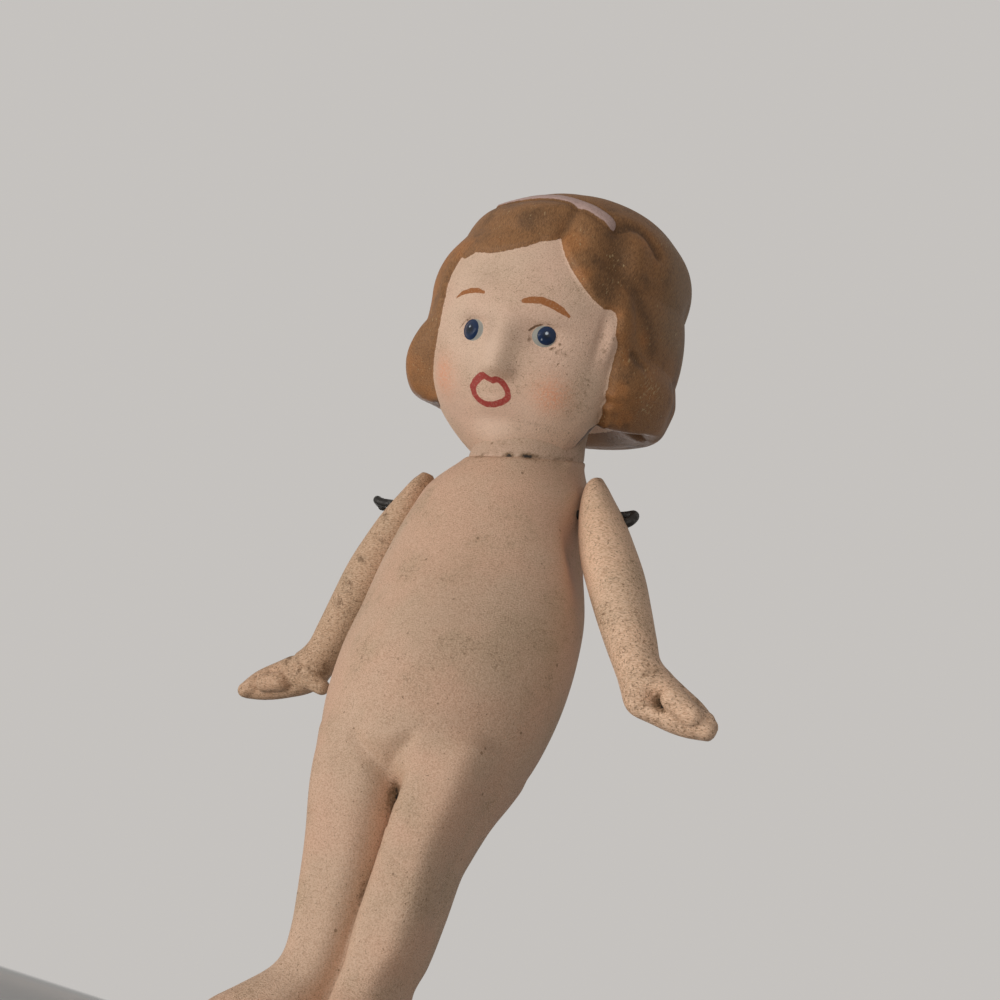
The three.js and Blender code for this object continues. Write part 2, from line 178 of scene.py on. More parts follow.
class Profile:
    """Smooth curve through (position, value) stations, level past both ends."""

    def __init__(self, stations: Sequence[Pair]) -> None:
        """Keeps the stations and their slopes."""
        self.at = np.array([station[0] for station in stations])
        self.value = np.array([station[1] for station in stations])
        low = np.maximum(np.arange(len(self.at)) - 1, 0)
        high = np.minimum(np.arange(len(self.at)) + 1, len(self.at) - 1)
        self.slope = (self.value[high] - self.value[low]) / (self.at[high] - self.at[low])

    def __call__(self, position: Array) -> Array:
        """Value of the curve at each position."""
        position = np.clip(position, self.at[0], self.at[-1])
        i = np.clip(np.searchsorted(self.at, position, side="right") - 1, 0, len(self.at) - 2)
        span = self.at[i + 1] - self.at[i]
        t = (position - self.at[i]) / span
        rise = self.value[i + 1] - self.value[i]
        start = self.slope[i] * span
        end = self.slope[i + 1] * span
        return self.value[i] + t * (start + t * (3 * rise - 2 * start - end + t * (start + end - 2 * rise)))


class Clay:
    """A sheet of mesh that is rolled up and pressed into a closed form by moving its vertices."""

    def __init__(self, name: str, columns: int, rows: int) -> None:
        """Starts from a flat sheet.

        Args:
            name: Name of the mesh.
            columns: Faces round the form.
            rows: Faces from its lower end to its upper end.
        """
        self.mesh = bpy.data.meshes.new(name)
        with opened(self.mesh) as shape:
            bmesh.ops.create_grid(shape, x_segments=columns, y_segments=rows, size=0.5)
        sheet = self.points()
        self.along = np.clip(sheet[:, 1] + 0.5, 0.0, 1.0)
        self.angle = math.tau * sheet[:, 0]

    def points(self) -> Array:
        """Places of the vertices, one row each."""
        flat = np.zeros(len(self.mesh.vertices) * 3, np.float32)
        self.mesh.vertices.foreach_get("co", flat)
        return flat.reshape(-1, 3).astype(float)

    def press(self, points: Array) -> None:
        """Moves the vertices to points given in millimetres."""
        self.mesh.vertices.foreach_set("co", (points * METRES).astype(np.float32).ravel())
        self.mesh.update()

    def join(self, other: "Clay") -> None:
        """Adds another sheet's mesh to this one, after its own vertices."""
        with opened(self.mesh) as shape:
            shape.from_mesh(other.mesh)
        bpy.data.meshes.remove(other.mesh)

    def mask(self, name: str, values: Array) -> None:
        """Stores one number for each vertex, for the finish to read."""
        layer = self.mesh.attributes.new(name, "FLOAT", "POINT")
        layer.data.foreach_set("value", values.astype(np.float32))

    def knead(self, grain: float, rounds: int) -> Array:
        """Runs the joined forms together into one skin and smooths it.

        Args:
            grain: Size of the new faces in millimetres.
            rounds: How many times the skin is smoothed.

        Returns:
            For each new vertex, the index of the nearest old one.
        """
        old = KDTree(len(self.mesh.vertices))
        for vertex in self.mesh.vertices:
            old.insert(vertex.co, vertex.index)
        old.balance()
        lump = add("lump", self.mesh)
        remesh = lump.modifiers.new("run_together", "REMESH")
        remesh.mode = "VOXEL"
        remesh.voxel_size = grain * METRES
        graph = bpy.context.evaluated_depsgraph_get()
        skin = bpy.data.meshes.new_from_object(lump.evaluated_get(graph))
        bpy.data.objects.remove(lump)
        bpy.data.meshes.remove(self.mesh)
        self.mesh = skin
        every_axis = {"use_axis_x": True, "use_axis_y": True, "use_axis_z": True}
        with opened(skin) as shape:
            for _ in range(rounds):
                bmesh.ops.smooth_vert(shape, verts=shape.verts, factor=0.5, **every_axis)
        return np.array([old.find(vertex.co)[1] for vertex in skin.vertices])

    def piece(self, name: str, material: bpy.types.Material) -> bpy.types.Object:
        """Makes the finished, welded and smooth-shaded object.

        Args:
            name: Name of the piece.
            material: Its finish.

        Returns:
            The object, at the origin.
        """
        with opened(self.mesh) as shape:
            bmesh.ops.remove_doubles(shape, verts=shape.verts, dist=WELD_DISTANCE)
            bmesh.ops.recalc_face_normals(shape, faces=shape.faces)
            for face in shape.faces:
                face.smooth = True
        self.mesh.materials.append(material)
        return add(name, self.mesh)


class Board:
    """A node tree, with short names for the nodes that the finishes are mixed from."""

    def __init__(self, tree: bpy.types.NodeTree) -> None:
        """Starts with an empty tree."""
        self.tree = tree
        self.tree.nodes.clear()

    def put(self, value: Union[Level, Paint], socket: Socket) -> None:
        """Links a socket, or sets a plain number or colour on it."""
        if isinstance(value, bpy.types.NodeSocket):
            self.tree.links.new(value, socket)
        elif isinstance(value, tuple):
            socket.default_value = (*value, 1.0)
        else:
            socket.default_value = value

    def node(self, kind: str, inputs: Inputs, **settings: str) -> bpy.types.Node:
        """Adds a shader node.

        Args:
            kind: The node's type, without the word for shader nodes.
            inputs: Sockets to link, or numbers and colours to set, by the name or number of the input.
            settings: The node's own settings.

        Returns:
            The node.
        """
        node = self.tree.nodes.new(f"ShaderNode{kind}")
        for name, setting in settings.items():
            setattr(node, name, setting)
        for socket, value in inputs.items():
            self.put(value, node.inputs[socket])
        return node

    def place(self, stretch: Triple = (1.0, 1.0, 1.0)) -> Socket:
        """Object coordinates in millimetres, stretched by a factor on each axis."""
        mapping = self.node("Mapping", {"Vector": self.node("TexCoord", {}).outputs["Object"]})
        mapping.inputs["Scale"].default_value = tuple(share / METRES for share in stretch)
        return mapping.outputs["Vector"]

    def noise(self, place: Socket, scale: float, detail: float = 2.0, roughness: float = 0.5) -> Socket:
        """Cloudy noise from 0 to 1, by features per millimetre."""
        inputs = {"Vector": place, "Scale": scale, "Detail": detail, "Roughness": roughness}
        return self.node("TexNoise", inputs).outputs["Fac"]

    def cells(self, place: Socket, scale: float) -> tuple[Socket, Socket]:
        """Distance to the nearest of scattered points, and a chance number for each point."""
        scattered = self.node("TexVoronoi", {"Vector": place, "Scale": scale})
        split = self.node("SeparateColor", {"Color": scattered.outputs["Color"]})
        return scattered.outputs["Distance"], split.outputs["Red"]

    def mask(self, name: str) -> Socket:
        """A number stored on the vertices."""
        return self.node("Attribute", {}, attribute_name=name).outputs["Fac"]

    def sum(self, first: Level, second: Level) -> Socket:
        """First plus second."""
        return self.math("ADD", first, second)

    def times(self, first: Level, second: Level) -> Socket:
        """First times second."""
        return self.math("MULTIPLY", first, second)

    def gap(self, value: Socket, level: float) -> Socket:
        """How far a value is from a level."""
        return self.math("ABSOLUTE", self.sum(value, -level), 0.0)

    def math(self, operation: str, first: Level, second: Level) -> Socket:
        """One Math node."""
        return self.node("Math", {0: first, 1: second}, operation=operation).outputs["Value"]

    def grade(self, value: Socket, low: float, high: float, top: float = 1.0) -> Socket:
        """Smooth climb from 0 at low to top at high; low may be the larger."""
        (start, first), (end, last) = sorted(((low, 0.0), (high, top)))
        inputs = {"Value": value, "From Min": start, "From Max": end, "To Min": first, "To Max": last}
        return self.node("MapRange", inputs, interpolation_type="SMOOTHSTEP").outputs["Result"]

    def coat(self, share: Level, under: Paint, over: Paint) -> Socket:
        """Lays one colour over another by a share."""
        return self.mix("MIX", share, under, over)

    def tone(self, share: Level, under: Paint, by: Paint) -> Socket:
        """Multiplies a colour by another, by a share."""
        return self.mix("MULTIPLY", share, under, by)

    def mix(self, mode: str, share: Level, under: Paint, over: Paint) -> Socket:
        """One colour Mix node."""
        inputs = {MIX_SHARE: share, MIX_UNDER: under, MIX_OVER: over}
        return self.node("Mix", inputs, data_type="RGBA", blend_type=mode).outputs[MIX_RESULT]


class Finish(Board):
    """A material's node tree, with one Principled shader."""

    def __init__(self, name: str) -> None:
        """Starts the material."""
        self.material = bpy.data.materials.new(name)
        self.material.use_nodes = True
        super().__init__(self.material.node_tree)
        self.shader = self.node("BsdfPrincipled", {})
        self.output = self.node("OutputMaterial", {"Surface": self.shader.outputs["BSDF"]})

    def connect(self, colour: Socket, roughness: Level, height: Socket, depth: float) -> bpy.types.Material:
        """Connects the shader.

        Args:
            colour: Base colour.
            roughness: Roughness, a socket or one number.
            height: Height for the bump, from 0 to 1.
            depth: Depth of the bump in millimetres.

        Returns:
            The material.
        """
        bump = self.node("Bump", {"Height": height, "Distance": depth * METRES})
        self.put(colour, self.shader.inputs["Base Color"])
        self.put(roughness, self.shader.inputs["Roughness"])
        self.put(bump.outputs["Normal"], self.shader.inputs["Normal"])
        return self.material


class BrushRun(Enum):
    """Which way the grain of the brushed skin paint runs, as a stretch of the pattern on each axis."""

    DOWN = (0.75, 0.75, 1.1)
    ACROSS = (0.32, 0.8, 1.3)


@dataclass(frozen=True)
class SkinPaint:
    """Old matte flesh paint: brushed grain, rubbed tints, specks, soiling, and painted shade where the masks
    ask for it.
    """

    flesh: Colour = (0.635, 0.43, 0.295)
    rosy: Colour = (0.665, 0.42, 0.285)
    sallow: Colour = (0.5, 0.355, 0.225)
    # Grey laid over the skin by the shade mask: painted shade
    painted_shade_grey: Colour = (0.62, 0.62, 0.6)
    # Browns laid where the soiling mask asks: real soiling, and painted shade in creases, dents and grooves
    grime_and_shade: Colour = (0.165, 0.092, 0.042)
    soot_and_shade: Colour = (0.022, 0.015, 0.01)
    worn: Colour = (0.52, 0.43, 0.36)
    rubbed: Colour = (0.74, 0.54, 0.4)
    run: BrushRun = BrushRun.DOWN
    soiling: float = 0.65
    grain: float = 0.5
    clouding: float = 0.5
    specular: float = 0.35
    roughness: float = 0.66
    bump: float = 0.14

    def layers(self, board: Board) -> tuple[Socket, Socket]:
        """Mixes the paint's colour and height.

        Args:
            board: Node tree to build in.

        Returns:
            Colour and height sockets.
        """
        place = board.place()
        brushed = board.place(self.run.value)
        tint = board.noise(place, 0.07, 2.0)
        colour = board.coat(board.grade(tint, 0.4, 0.62), self.flesh, self.rosy)
        smudge = board.noise(place, 0.1, 4.0, 0.55)
        colour = board.coat(board.grade(smudge, 0.44, 0.7, self.clouding), colour, self.sallow)
        # Painted shade from the shade mask, in the eye sockets, on the neck and down the body's side, with a
        # grey smudge on the belly
        colour = board.tone(board.times(board.mask("shade"), 0.62), colour, self.painted_shade_grey)
        grain = board.noise(brushed, 5.6, 1.0, 0.6)
        colour = board.tone(board.grade(grain, 0.6, 0.28, self.grain), colour, self.worn)
        colour = board.coat(board.grade(grain, 0.5, 0.76, 0.5 * self.grain), colour, self.rubbed)
        hairline = board.grade(board.gap(board.noise(brushed, 0.75, 2.0, 0.55), 0.5), 0.016, 0.004)
        scratched = board.times(hairline, board.grade(smudge, 0.5, 0.62, self.soiling))
        colour = board.coat(board.times(scratched, 0.8), colour, self.grime_and_shade)
        dirt_and_shade = board.mask("dirt_and_shade")
        fine = board.noise(place, 2.6, 3.0, 0.7)
        speck = board.sum(fine, board.times(dirt_and_shade, 0.16))
        edge = 0.69 - 0.07 * self.soiling
        colour = board.coat(board.grade(speck, edge, edge + 0.05, 0.75), colour, self.grime_and_shade)
        distance, chance = board.cells(place, 0.42)
        chosen = board.grade(chance, 0.86 - 0.2 * self.soiling, 0.9)
        dots = board.times(board.grade(distance, 0.12, 0.07), chosen)
        colour = board.coat(board.times(dots, 0.7), colour, self.grime_and_shade)
        # Soiling from the mask, mottled by cloud: real soiling, and painted shade in the creases, dents and
        # grooves that the mask marks
        cloud = board.noise(place, 0.9, 4.0, 0.65)
        soiled_and_shaded = board.sum(dirt_and_shade, board.times(board.sum(cloud, -0.5), 1.5))
        colour = board.coat(board.grade(soiled_and_shaded, 0.3, 0.85, 0.75), colour, self.grime_and_shade)
        colour = board.coat(board.grade(soiled_and_shaded, 0.85, 1.05), colour, self.soot_and_shade)
        height = board.sum(board.times(grain, 0.7), board.times(fine, 0.3))
        return colour, height

    def material(self, name: str) -> bpy.types.Material:
        """Makes the finish for a piece that is skin all over."""
        board = Finish(name)
        colour, height = self.layers(board)
        board.shader.inputs["Specular IOR Level"].default_value = self.specular
        return board.connect(colour, self.roughness, height, self.bump)


@dataclass(frozen=True)
class FacePaint:
    """The head's finish: skin paint, brown hair paint, and the features painted over them by hand."""

    skin: SkinPaint
    hair: Colour = (0.285, 0.134, 0.051)
    hair_red: Colour = (0.38, 0.16, 0.053)
    # Deep brown for the randomly darker hair, also used as painted shade in the hair's hollows and as a
    # painted shadow under the bob
    hair_dark_and_shade: Colour = (0.085, 0.04, 0.014)
    hair_rubbed: Colour = (0.22, 0.138, 0.075)
    hair_light: Colour = (0.4, 0.215, 0.096)
    hair_shadow: Colour = (0.46, 0.42, 0.38)
    fleck: Colour = (0.52, 0.37, 0.19)
    band: Colour = (0.51, 0.35, 0.305)
    band_worn: Colour = (0.6, 0.5, 0.46)
    brow: Colour = (0.34, 0.12, 0.032)
    lip: Colour = (0.36, 0.052, 0.04)
    blush: Colour = (0.74, 0.31, 0.17)
    # Paler paint laid by the pale mask: a painted highlight
    painted_highlight_paint: Colour = (0.74, 0.53, 0.4)
    eye_white: Colour = (0.31, 0.3, 0.26)
    iris: Colour = (0.011, 0.026, 0.07)
    pupil: Colour = (0.008, 0.013, 0.024)
    glint: Colour = (0.5, 0.55, 0.6)
    lid: Colour = (0.17, 0.09, 0.045)
    specular: float = 0.32
    bump: float = 0.13

    def hair_layers(self, board: Board) -> Socket:
        """Mixes the hair paint.

        Args:
            board: Node tree to build in.

        Returns:
            Colour socket.
        """
        place = board.place()
        combed = board.place((1.2, 1.2, 0.32))
        cloud = board.noise(place, 0.13, 3.0, 0.6)
        reddened = board.sum(cloud, board.times(board.mask("red"), 0.28))
        colour = board.coat(board.grade(reddened, 0.52, 0.78), self.hair, self.hair_red)
        colour = board.coat(board.grade(cloud, 0.46, 0.3, 0.5), colour, self.hair_dark_and_shade)
        # Painted shade along the hair's hollows and a painted shadow under the bob's edge, from the hollow
        # mask
        colour = board.coat(board.grade(board.mask("hollow"), 0.0, 1.0, 0.85), colour, self.hair_dark_and_shade)
        colour = board.coat(board.grade(board.mask("rubbed"), 0.0, 1.0, 0.7), colour, self.hair_rubbed)
        strand = board.noise(combed, 4.2, 2.0, 0.7)
        colour = board.tone(board.grade(strand, 0.54, 0.36, 0.6), colour, self.hair_shadow)
        colour = board.coat(board.grade(strand, 0.54, 0.74, 0.4), colour, self.hair_light)
        fleck = board.noise(combed, 2.4, 2.0, 0.6)
        patch = board.noise(place, 0.2, 2.0)
        spread = board.sum(fleck, board.times(board.sum(patch, -0.5), 0.4))
        spread = board.sum(spread, board.times(board.mask("gilt"), 0.16))
        return board.coat(board.grade(spread, 0.7, 0.8, 0.75), colour, self.fleck)

    def material(self, name: str) -> bpy.types.Material:
        """Makes the head's finish.

        Args:
            name: Name of the material.

        Returns:
            The material.
        """
        board = Finish(name)
        colour, height = self.skin.layers(board)
        place = board.place()
        ragged = board.times(board.sum(board.noise(place, 1.3, 3.0, 0.6), -0.5), 0.34)
        stipple = board.noise(place, 3.0, 2.0, 0.6)
        # Painted highlight: paler skin on the chin, the lower cheeks and down the nose
        colour = board.coat(board.times(board.mask("pale"), 0.6), colour, self.painted_highlight_paint)
        blush = board.times(board.mask("blush"), board.grade(stipple, 0.15, 0.7))
        colour = board.coat(board.times(blush, 0.85), colour, self.blush)
        white = board.grade(board.mask("eye_white"), 0.05, -0.05)
        colour = board.coat(white, colour, self.eye_white)
        for feature, paint in (("brow", self.brow), ("lip", self.lip), ("lid", self.lid)):
            edge = board.sum(board.mask(feature), board.times(ragged, 0.7))
            thin = board.grade(stipple, 0.25, 0.5)
            share = board.times(board.grade(edge, 0.07, -0.05), board.sum(board.times(thin, 0.25), 0.75))
            colour = board.coat(share, colour, paint)
        iris = board.grade(board.mask("iris"), 0.04, -0.04)
        colour = board.coat(iris, colour, self.iris)
        colour = board.coat(board.grade(board.mask("iris"), -0.5, -1.4), colour, self.pupil)
        colour = board.coat(board.grade(board.mask("glint"), 0.06, -0.14), colour, self.glint)
        hair = board.grade(board.sum(board.mask("hair"), ragged), -0.05, 0.05)
        colour = board.coat(hair, colour, self.hair_layers(board))
        band = board.grade(board.sum(board.mask("band"), board.times(ragged, 0.8)), 0.06, -0.06)
        band_paint = board.tone(board.grade(stipple, 0.6, 0.35, 0.35), self.band, self.band_worn)
        colour = board.coat(band, colour, band_paint)
        glossy = board.sum(board.times(hair, -0.06), self.skin.roughness)
        glossy = board.sum(board.times(iris, -0.46), glossy)
        glossy = board.sum(glossy, board.times(white, -0.04))
        board.shader.inputs["Specular IOR Level"].default_value = self.specular
        smooth = board.times(height, board.sum(board.times(iris, -1.0), 1.0))
        return board.connect(colour, glossy, smooth, self.bump)


@dataclass(frozen=True)
class OldIron:
    """Dark oxide on iron wire, with dull rubbed patches."""

    oxide: Colour = (0.028, 0.024, 0.021)
    rubbed: Colour = (0.12, 0.112, 0.104)
    metallic: float = 0.55
    bump: float = 0.06

    def material(self, name: str) -> bpy.types.Material:
        """Makes the wire's finish."""
        board = Finish(name)
        place = board.place()
        rub = board.noise(place, 0.8, 3.0, 0.6)
        colour = board.coat(board.grade(rub, 0.5, 0.7), self.oxide, self.rubbed)
        pits = board.noise(place, 3.5, 3.0, 0.7)
        board.shader.inputs["Metallic"].default_value = self.metallic
        return board.connect(colour, board.grade(rub, 0.75, 0.3, 0.62), pits, self.bump)


@dataclass(frozen=True)
class Stroke:
    """A line on the head through (longitude, latitude, half width) stations, in degrees and millimetres."""

    stations: tuple[Triple, ...]
    closed: bool = False
    reach: float = 23.5

    def distance(self, directions: Array) -> Array:
        """Distance to the stroke's edge over the head, negative inside it.

        Args:
            directions: Unit directions from the middle of the head.

        Returns:
            Distances in millimetres.
        """
        table = np.array(self.stations)
        lon, lat = np.radians(table[:, 0]), np.radians(table[:, 1])
        spots = np.stack([np.sin(lon) * np.cos(lat), -np.cos(lon) * np.cos(lat), np.sin(lat)], axis=1)
        nearest = np.full(len(directions), np.inf)
        for i in range(len(spots) if self.closed else len(spots) - 1):
            j = (i + 1) % len(spots)
            run = spots[j] - spots[i]
            share = np.clip((directions - spots[i]) @ run / (run @ run), 0.0, 1.0)
            gap = np.linalg.norm(directions - spots[i] - share[:, None] * run, axis=1) * self.reach
            nearest = np.minimum(nearest, gap - mix(table[i, 2], table[j, 2], share))
        return nearest


@dataclass(frozen=True)
class Hollow:
    """A soft hollow in the hair, along a line of (longitude, latitude) places."""

    line: tuple[Pair, ...]
    depth: float
    width: float

    def strength(self, directions: Array) -> Array:
        """How strongly the hollow is felt in each direction, from 0 to 1."""
        stroke = Stroke(tuple((lon, lat, 0.0) for lon, lat in self.line))
        return hump(np.maximum(stroke.distance(directions), 0.0), self.width)


@dataclass(frozen=True)
class Eye:
    """One painted eye: the white and the iris as ovals, in degrees on the head."""

    white: Pair
    white_size: Pair
    iris: Pair
    iris_size: Pair

    @staticmethod
    def oval(lon: Array, lat: Array, middle: Pair, size: Pair) -> Array:
        """Distance in millimetres to the edge of an oval, negative inside."""
        return HEAD_DEGREE * ellipse_distance(lon - middle[0], lat - middle[1], *size)

    def relief(self, lon: Array, lat: Array) -> Array:
        """Height of the eyeball, the iris and the upper lid over the face."""
        white = self.oval(lon, lat, self.white, self.white_size)
        iris = self.oval(lon, lat, self.iris, self.iris_size)
        ball = 0.55 * step(-white, -0.35, 1.6) - 0.18 * hump(white, 0.28) + 0.22 * step(-iris, -0.12, 0.5)
        lid = self.white[1] + self.white_size[1] + 1.6
        return ball + 0.28 * hump(lat - lid, 1.5) * hump(lon - self.white[0], 6.0)


@dataclass
class PaintedHead:
    """The head with its moulded bob, and the neck that stands on the shoulders."""

    paint: FacePaint
    shift: Array
    neck_z: float = 96.5
    neck_slope: float = 32.0
    neck_half_width: float = 9.6
    neck_half_depth: float = 9.4
    neck_aside: float = 1.9
    neck_top_aside: float = 1.2
    neck_shade: float = 1.0
    neck_waist: Profile = Profile([
        (0, 0.96), (0.04, 0.985), (0.09, 0.975), (0.16, 0.95), (0.28, 0.935), (0.5, 0.97), (1, 1.06),
    ])
    neck_sink: float = 1.0
    neck_ends: Pair = (0.06, 0.04)
    neck_columns: int = 120
    neck_rows: int = 90
    chips: tuple[Pair, ...] = (
        (6.2, -9.0), (7.0, -8.7), (8.0, -8.1), (10.9, -5.2), (11.6, -4.0), (12.0, -2.8), (-1.6, -9.6),
        (3.6, -9.6),
    )
    middle: Triple = (2.2, -3.4, 118.9)
    half_sizes: Triple = (22.5, 23.2, 25.5)
    nod_tilt_turn: Triple = (20.0, 5.5, 5.0)
    face_aside: float = 0.4
    nape_depth: float = 0.42
    nape_round: Pair = (45.0, 100.0)
    nape_below: Pair = (12.0, 34.0)
    nape_slant: float = 15.0
    slant_round: Pair = (85.0, 115.0)
    hair_brink: Pair = (-0.7, 2.2)
    back_flick: float = 0.5
    band_rise: float = 0.35
    # Strength of the painted shade along the hair's hollows
    hollow_shade_paint: float = 1.2
    wave_height: float = 0.3
    waves_round: float = 9.0
    wave_sway: float = 60.0
    wave_fade: Pair = (20.0, 50.0)
    flick_round: Pair = (125.0, 175.0)
    fringe_rise: float = 2.2
    fringe_round: Pair = (30.0, 60.0)
    loose_round: Pair = (45.0, 70.0)
    loose_below: Pair = (35.0, 80.0)
    curl_starts: Pair = (50.0, 60.0)
    curl_stops: Pair = (100.0, 140.0)
    # Degrees of hair paint carried under the bob's edge, as hair paint and painted shadow: most under the
    # left curl, less at the back, and onto the jaw beside that curl as a painted shadow
    painted_curl: float = 11.0
    painted_back: float = 6.0
    painted_back_round: Pair = (75.0, 100.0)
    jaw_shadow_paint: float = 9.0
    rub_starts: Pair = (55.0, 80.0)
    rub_stops: Pair = (120.0, 150.0)
    rub_above: Pair = (-10.0, 10.0)
    hair_thickness: float = 1.4
    crowding: float = 0.42
    columns: int = 340
    rows: int = 250
    curls: Pair = (12.0, 7.0)
    thickening: float = 14.0
    bob_edge: Profile = Profile([
        (-180, -33), (-140, -34), (-110, -37), (-85, -41), (-62, -43), (-40, -43), (40, -44), (62, -43.5),
        (77, -42), (87, -39), (99, -36), (111, -33.5), (123, -32.5), (145, -32), (180, -33),
    ])
    face_edge: tuple[Pair, ...] = (
        (14.5, 28), (16.5, 23.5), (20, 17.5), (24, 12.8), (29, 8), (34, 4.4), (38.5, 2.4), (41.5, 3.2),
        (44, 2.6), (45.3, -1), (45.6, -6), (48.4, -9.5), (48.4, -13.5), (49.3, -18), (49.8, -22),
        (51.5, -26), (51.5, -28.5), (54.5, -31), (54, -34), (57.5, -37), (59, -40), (63, -46), (60, -60),
        (60, -92), (-60, -92), (-50, -60), (-43, -40), (-42.6, -33.5), (-40, -27), (-37.6, -21.4),
        (-34.6, -11.4), (-34.2, -0.7), (-35.6, 4.9), (-35, 13.1), (-33.4, 17.6), (-30.1, 16.2),
        (-26.8, 17), (-23.8, 18.6), (-20.5, 18), (-14, 17), (-10, 17.6), (-4, 19.2), (2, 21.2),
        (6.5, 24.6), (10.5, 25.4),
    )
    left_reach: Profile = Profile([
        (-40, 1.11), (-30, 1.11), (-21, 1.1), (-16, 1.087), (-12, 1.05), (-7, 1.0), (-1, 0.95), (4, 0.91),
        (8, 0.9), (12, 0.92), (17, 0.975), (23, 1.045), (31, 1.12), (39, 1.163), (47, 1.175), (55, 1.184),
        (62, 1.164), (70, 1.13), (80, 1.112), (90, 1.105),
    ])
    right_reach: Profile = Profile([
        (-40, 1.175), (-30, 1.175), (-23, 1.157), (-18, 1.132), (-12, 1.082), (-5, 1.013), (2, 1.0),
        (7, 1.02), (13, 1.024), (20, 1.0), (28, 1.02), (34, 1.07), (42, 1.113), (50, 1.115), (60, 1.113),
        (75, 1.11), (90, 1.105),
    ])
    eyes: tuple[Eye, Eye] = (
        Eye((-13.6, -15.5), (5.2, 4.4), (-14.9, -15.4), (4.5, 4.2)),
        Eye((18.3, -14.3), (5.0, 4.2), (19.4, -13.8), (3.8, 3.7)),
    )
    glints: tuple[Triple, ...] = ((19.3, -12.9, 0.75), (17.9, -15.6, 0.5), (-14.9, -14.2, 0.6))
    brows: tuple[Stroke, Stroke] = (
        Stroke((
            (-25.6, -2.0, 0.15), (-22.5, -0.4, 0.4), (-18, 0.4, 0.45), (-14.1, 0.4, 0.42),
            (-10.7, -0.4, 0.22),
        )),
        Stroke((
            (7.5, -2.2, 0.42), (10, -1.5, 0.55), (14.4, -0.8, 0.58), (18.7, -1.6, 0.6),
            (22.7, -2.9, 0.55), (26.2, -4.6, 0.22),
        )),
    )
    mouth: Stroke = Stroke((
        (-11.3, -37.2, 0.55), (-9.6, -35.2, 0.62), (-6.8, -33.2, 0.62), (-4.5, -32.2, 0.55),
        (-2.1, -33.2, 0.5), (0, -33.9, 0.48), (2, -33.0, 0.5), (4, -33.7, 0.5), (5.9, -35.6, 0.45),
        (7.3, -37.4, 0.42), (7.7, -39.8, 0.45), (5.4, -41.6, 0.5), (0.5, -43.3, 0.5), (-4.5, -43.6, 0.5),
        (-8.6, -42.2, 0.48), (-10.8, -40, 0.48),
    ), closed=True)
    lids: tuple[Stroke, ...] = (
        Stroke(((-21.7, -15, 0.03), (-19.2, -12.1, 0.1), (-15.7, -10.6, 0.05))),
        Stroke(((-8.6, -12.6, 0.05), (-7.2, -14.3, 0.1))),
        Stroke(((11.8, -13.2, 0.15), (14.1, -11, 0.16), (17.1, -9.7, 0.1), (20.5, -9.2, 0.03))),
        Stroke(((22.2, -18.6, 0.1), (23.3, -17.6, 0.14))),
        Stroke(((4.8, 5.2, 0.0), (3.2, 2.4, 0.03), (1.9, -0.8, 0.0))),
    )
    band: Stroke = Stroke((
        (-35, 46.5, 0.5), (-28, 49, 0.7), (-16.6, 50.6, 0.85), (-6, 50.2, 0.92), (3.4, 48.9, 0.96),
        (12.5, 46.2, 1.0), (21.1, 42.7, 1.02), (28.2, 39.5, 1.02), (34.6, 36.8, 0.85),
    ), reach=26.0)
    hair_hollows: tuple[Hollow, ...] = (
        Hollow(((37.5, 35.5), (43, 39), (48.5, 39.5), (53, 38.2), (60, 33)), 0.7, 1.0),
        Hollow(((38, 33), (40.5, 24), (40, 15), (39.5, 9)), 0.55, 2.5),
        Hollow(((42, 20), (47, 15.8), (53.5, 11.3), (62, 3.5), (67, -4)), 0.55, 2.0),
        Hollow(((55.7, -10.2), (59, -11.8), (62.9, -12.8)), 0.5, 0.8),
        Hollow(((-18, 44), (0, 46), (14, 45), (26, 39)), 0.4, 2.4),
        Hollow(((14.5, 28), (16, 34), (18, 41)), 0.45, 0.9),
        Hollow(((-62, 30), (-66, 8), (-60, -12)), 0.5, 2.4),
        Hollow(((-100, 26), (-96, 4), (-102, -20)), 0.5, 2.6),
        Hollow(((100, 22), (94, 2), (101, -20)), 0.5, 2.6),
        Hollow(((140, 24), (146, 0), (138, -22)), 0.5, 2.6),
        Hollow(((-140, 24), (-146, 0), (-138, -22)), 0.5, 2.6),
        Hollow(((180, 30), (176, 4), (180, -24)), 0.5, 2.4),
    )
    # Smudges and specks round the right eye, the mouth and the ear, with painted shade in the ear's groove
    smears_and_shade: Patches = (
        (12.4, -16.8, 1.2, 1.3, 0.8), (22.6, -18.4, 1.6, 0.8, 0.85), (25.4, -15.8, 1.0, 0.8, 0.9),
        (30.6, -17.2, 2.0, 0.7, 0.6), (26, -19, 7, 2.5, 0.4), (8.5, -20, 3.5, 8, 0.3),
        (43, -14, 5, 9, 0.3), (30, -24, 14, 10, 0.25), (20, -50, 18, 6, 0.3), (41.6, -6, 1.3, 6, 0.5),
        (43.2, -13, 1.5, 2.5, 0.55), (51.2, -21.8, 0.8, 0.7, 1.4), (45.2, -7.5, 0.7, 0.5, 1.1),
        (38, -12, 5, 9, 0.35), (41, -29, 6, 9, 0.38), (-2, -38.5, 4, 2.2, 0.34),
    )
    red_patches: Patches = (
        (53, -12, 3, 6, 0.9), (55, -22, 3.5, 6, 1.0), (58, -31, 4, 4, 0.7), (20.5, 24.5, 5, 7, 1.0),
        (28, 12.6, 5, 5, 0.9), (66, -33.6, 7, 6, 1.0), (61.8, -2.3, 4, 5, 0.8), (-30, 24, 12, 6, 0.7),
        (-48, 4, 8, 12, 0.7), (-55, -24, 12, 8, 0.5),
    )
    dark_patches: Patches = (
        (3, 33, 16, 6, 0.45), (52, 8, 8, 7, 0.45), (40, 30, 6, 8, 0.35),
    )
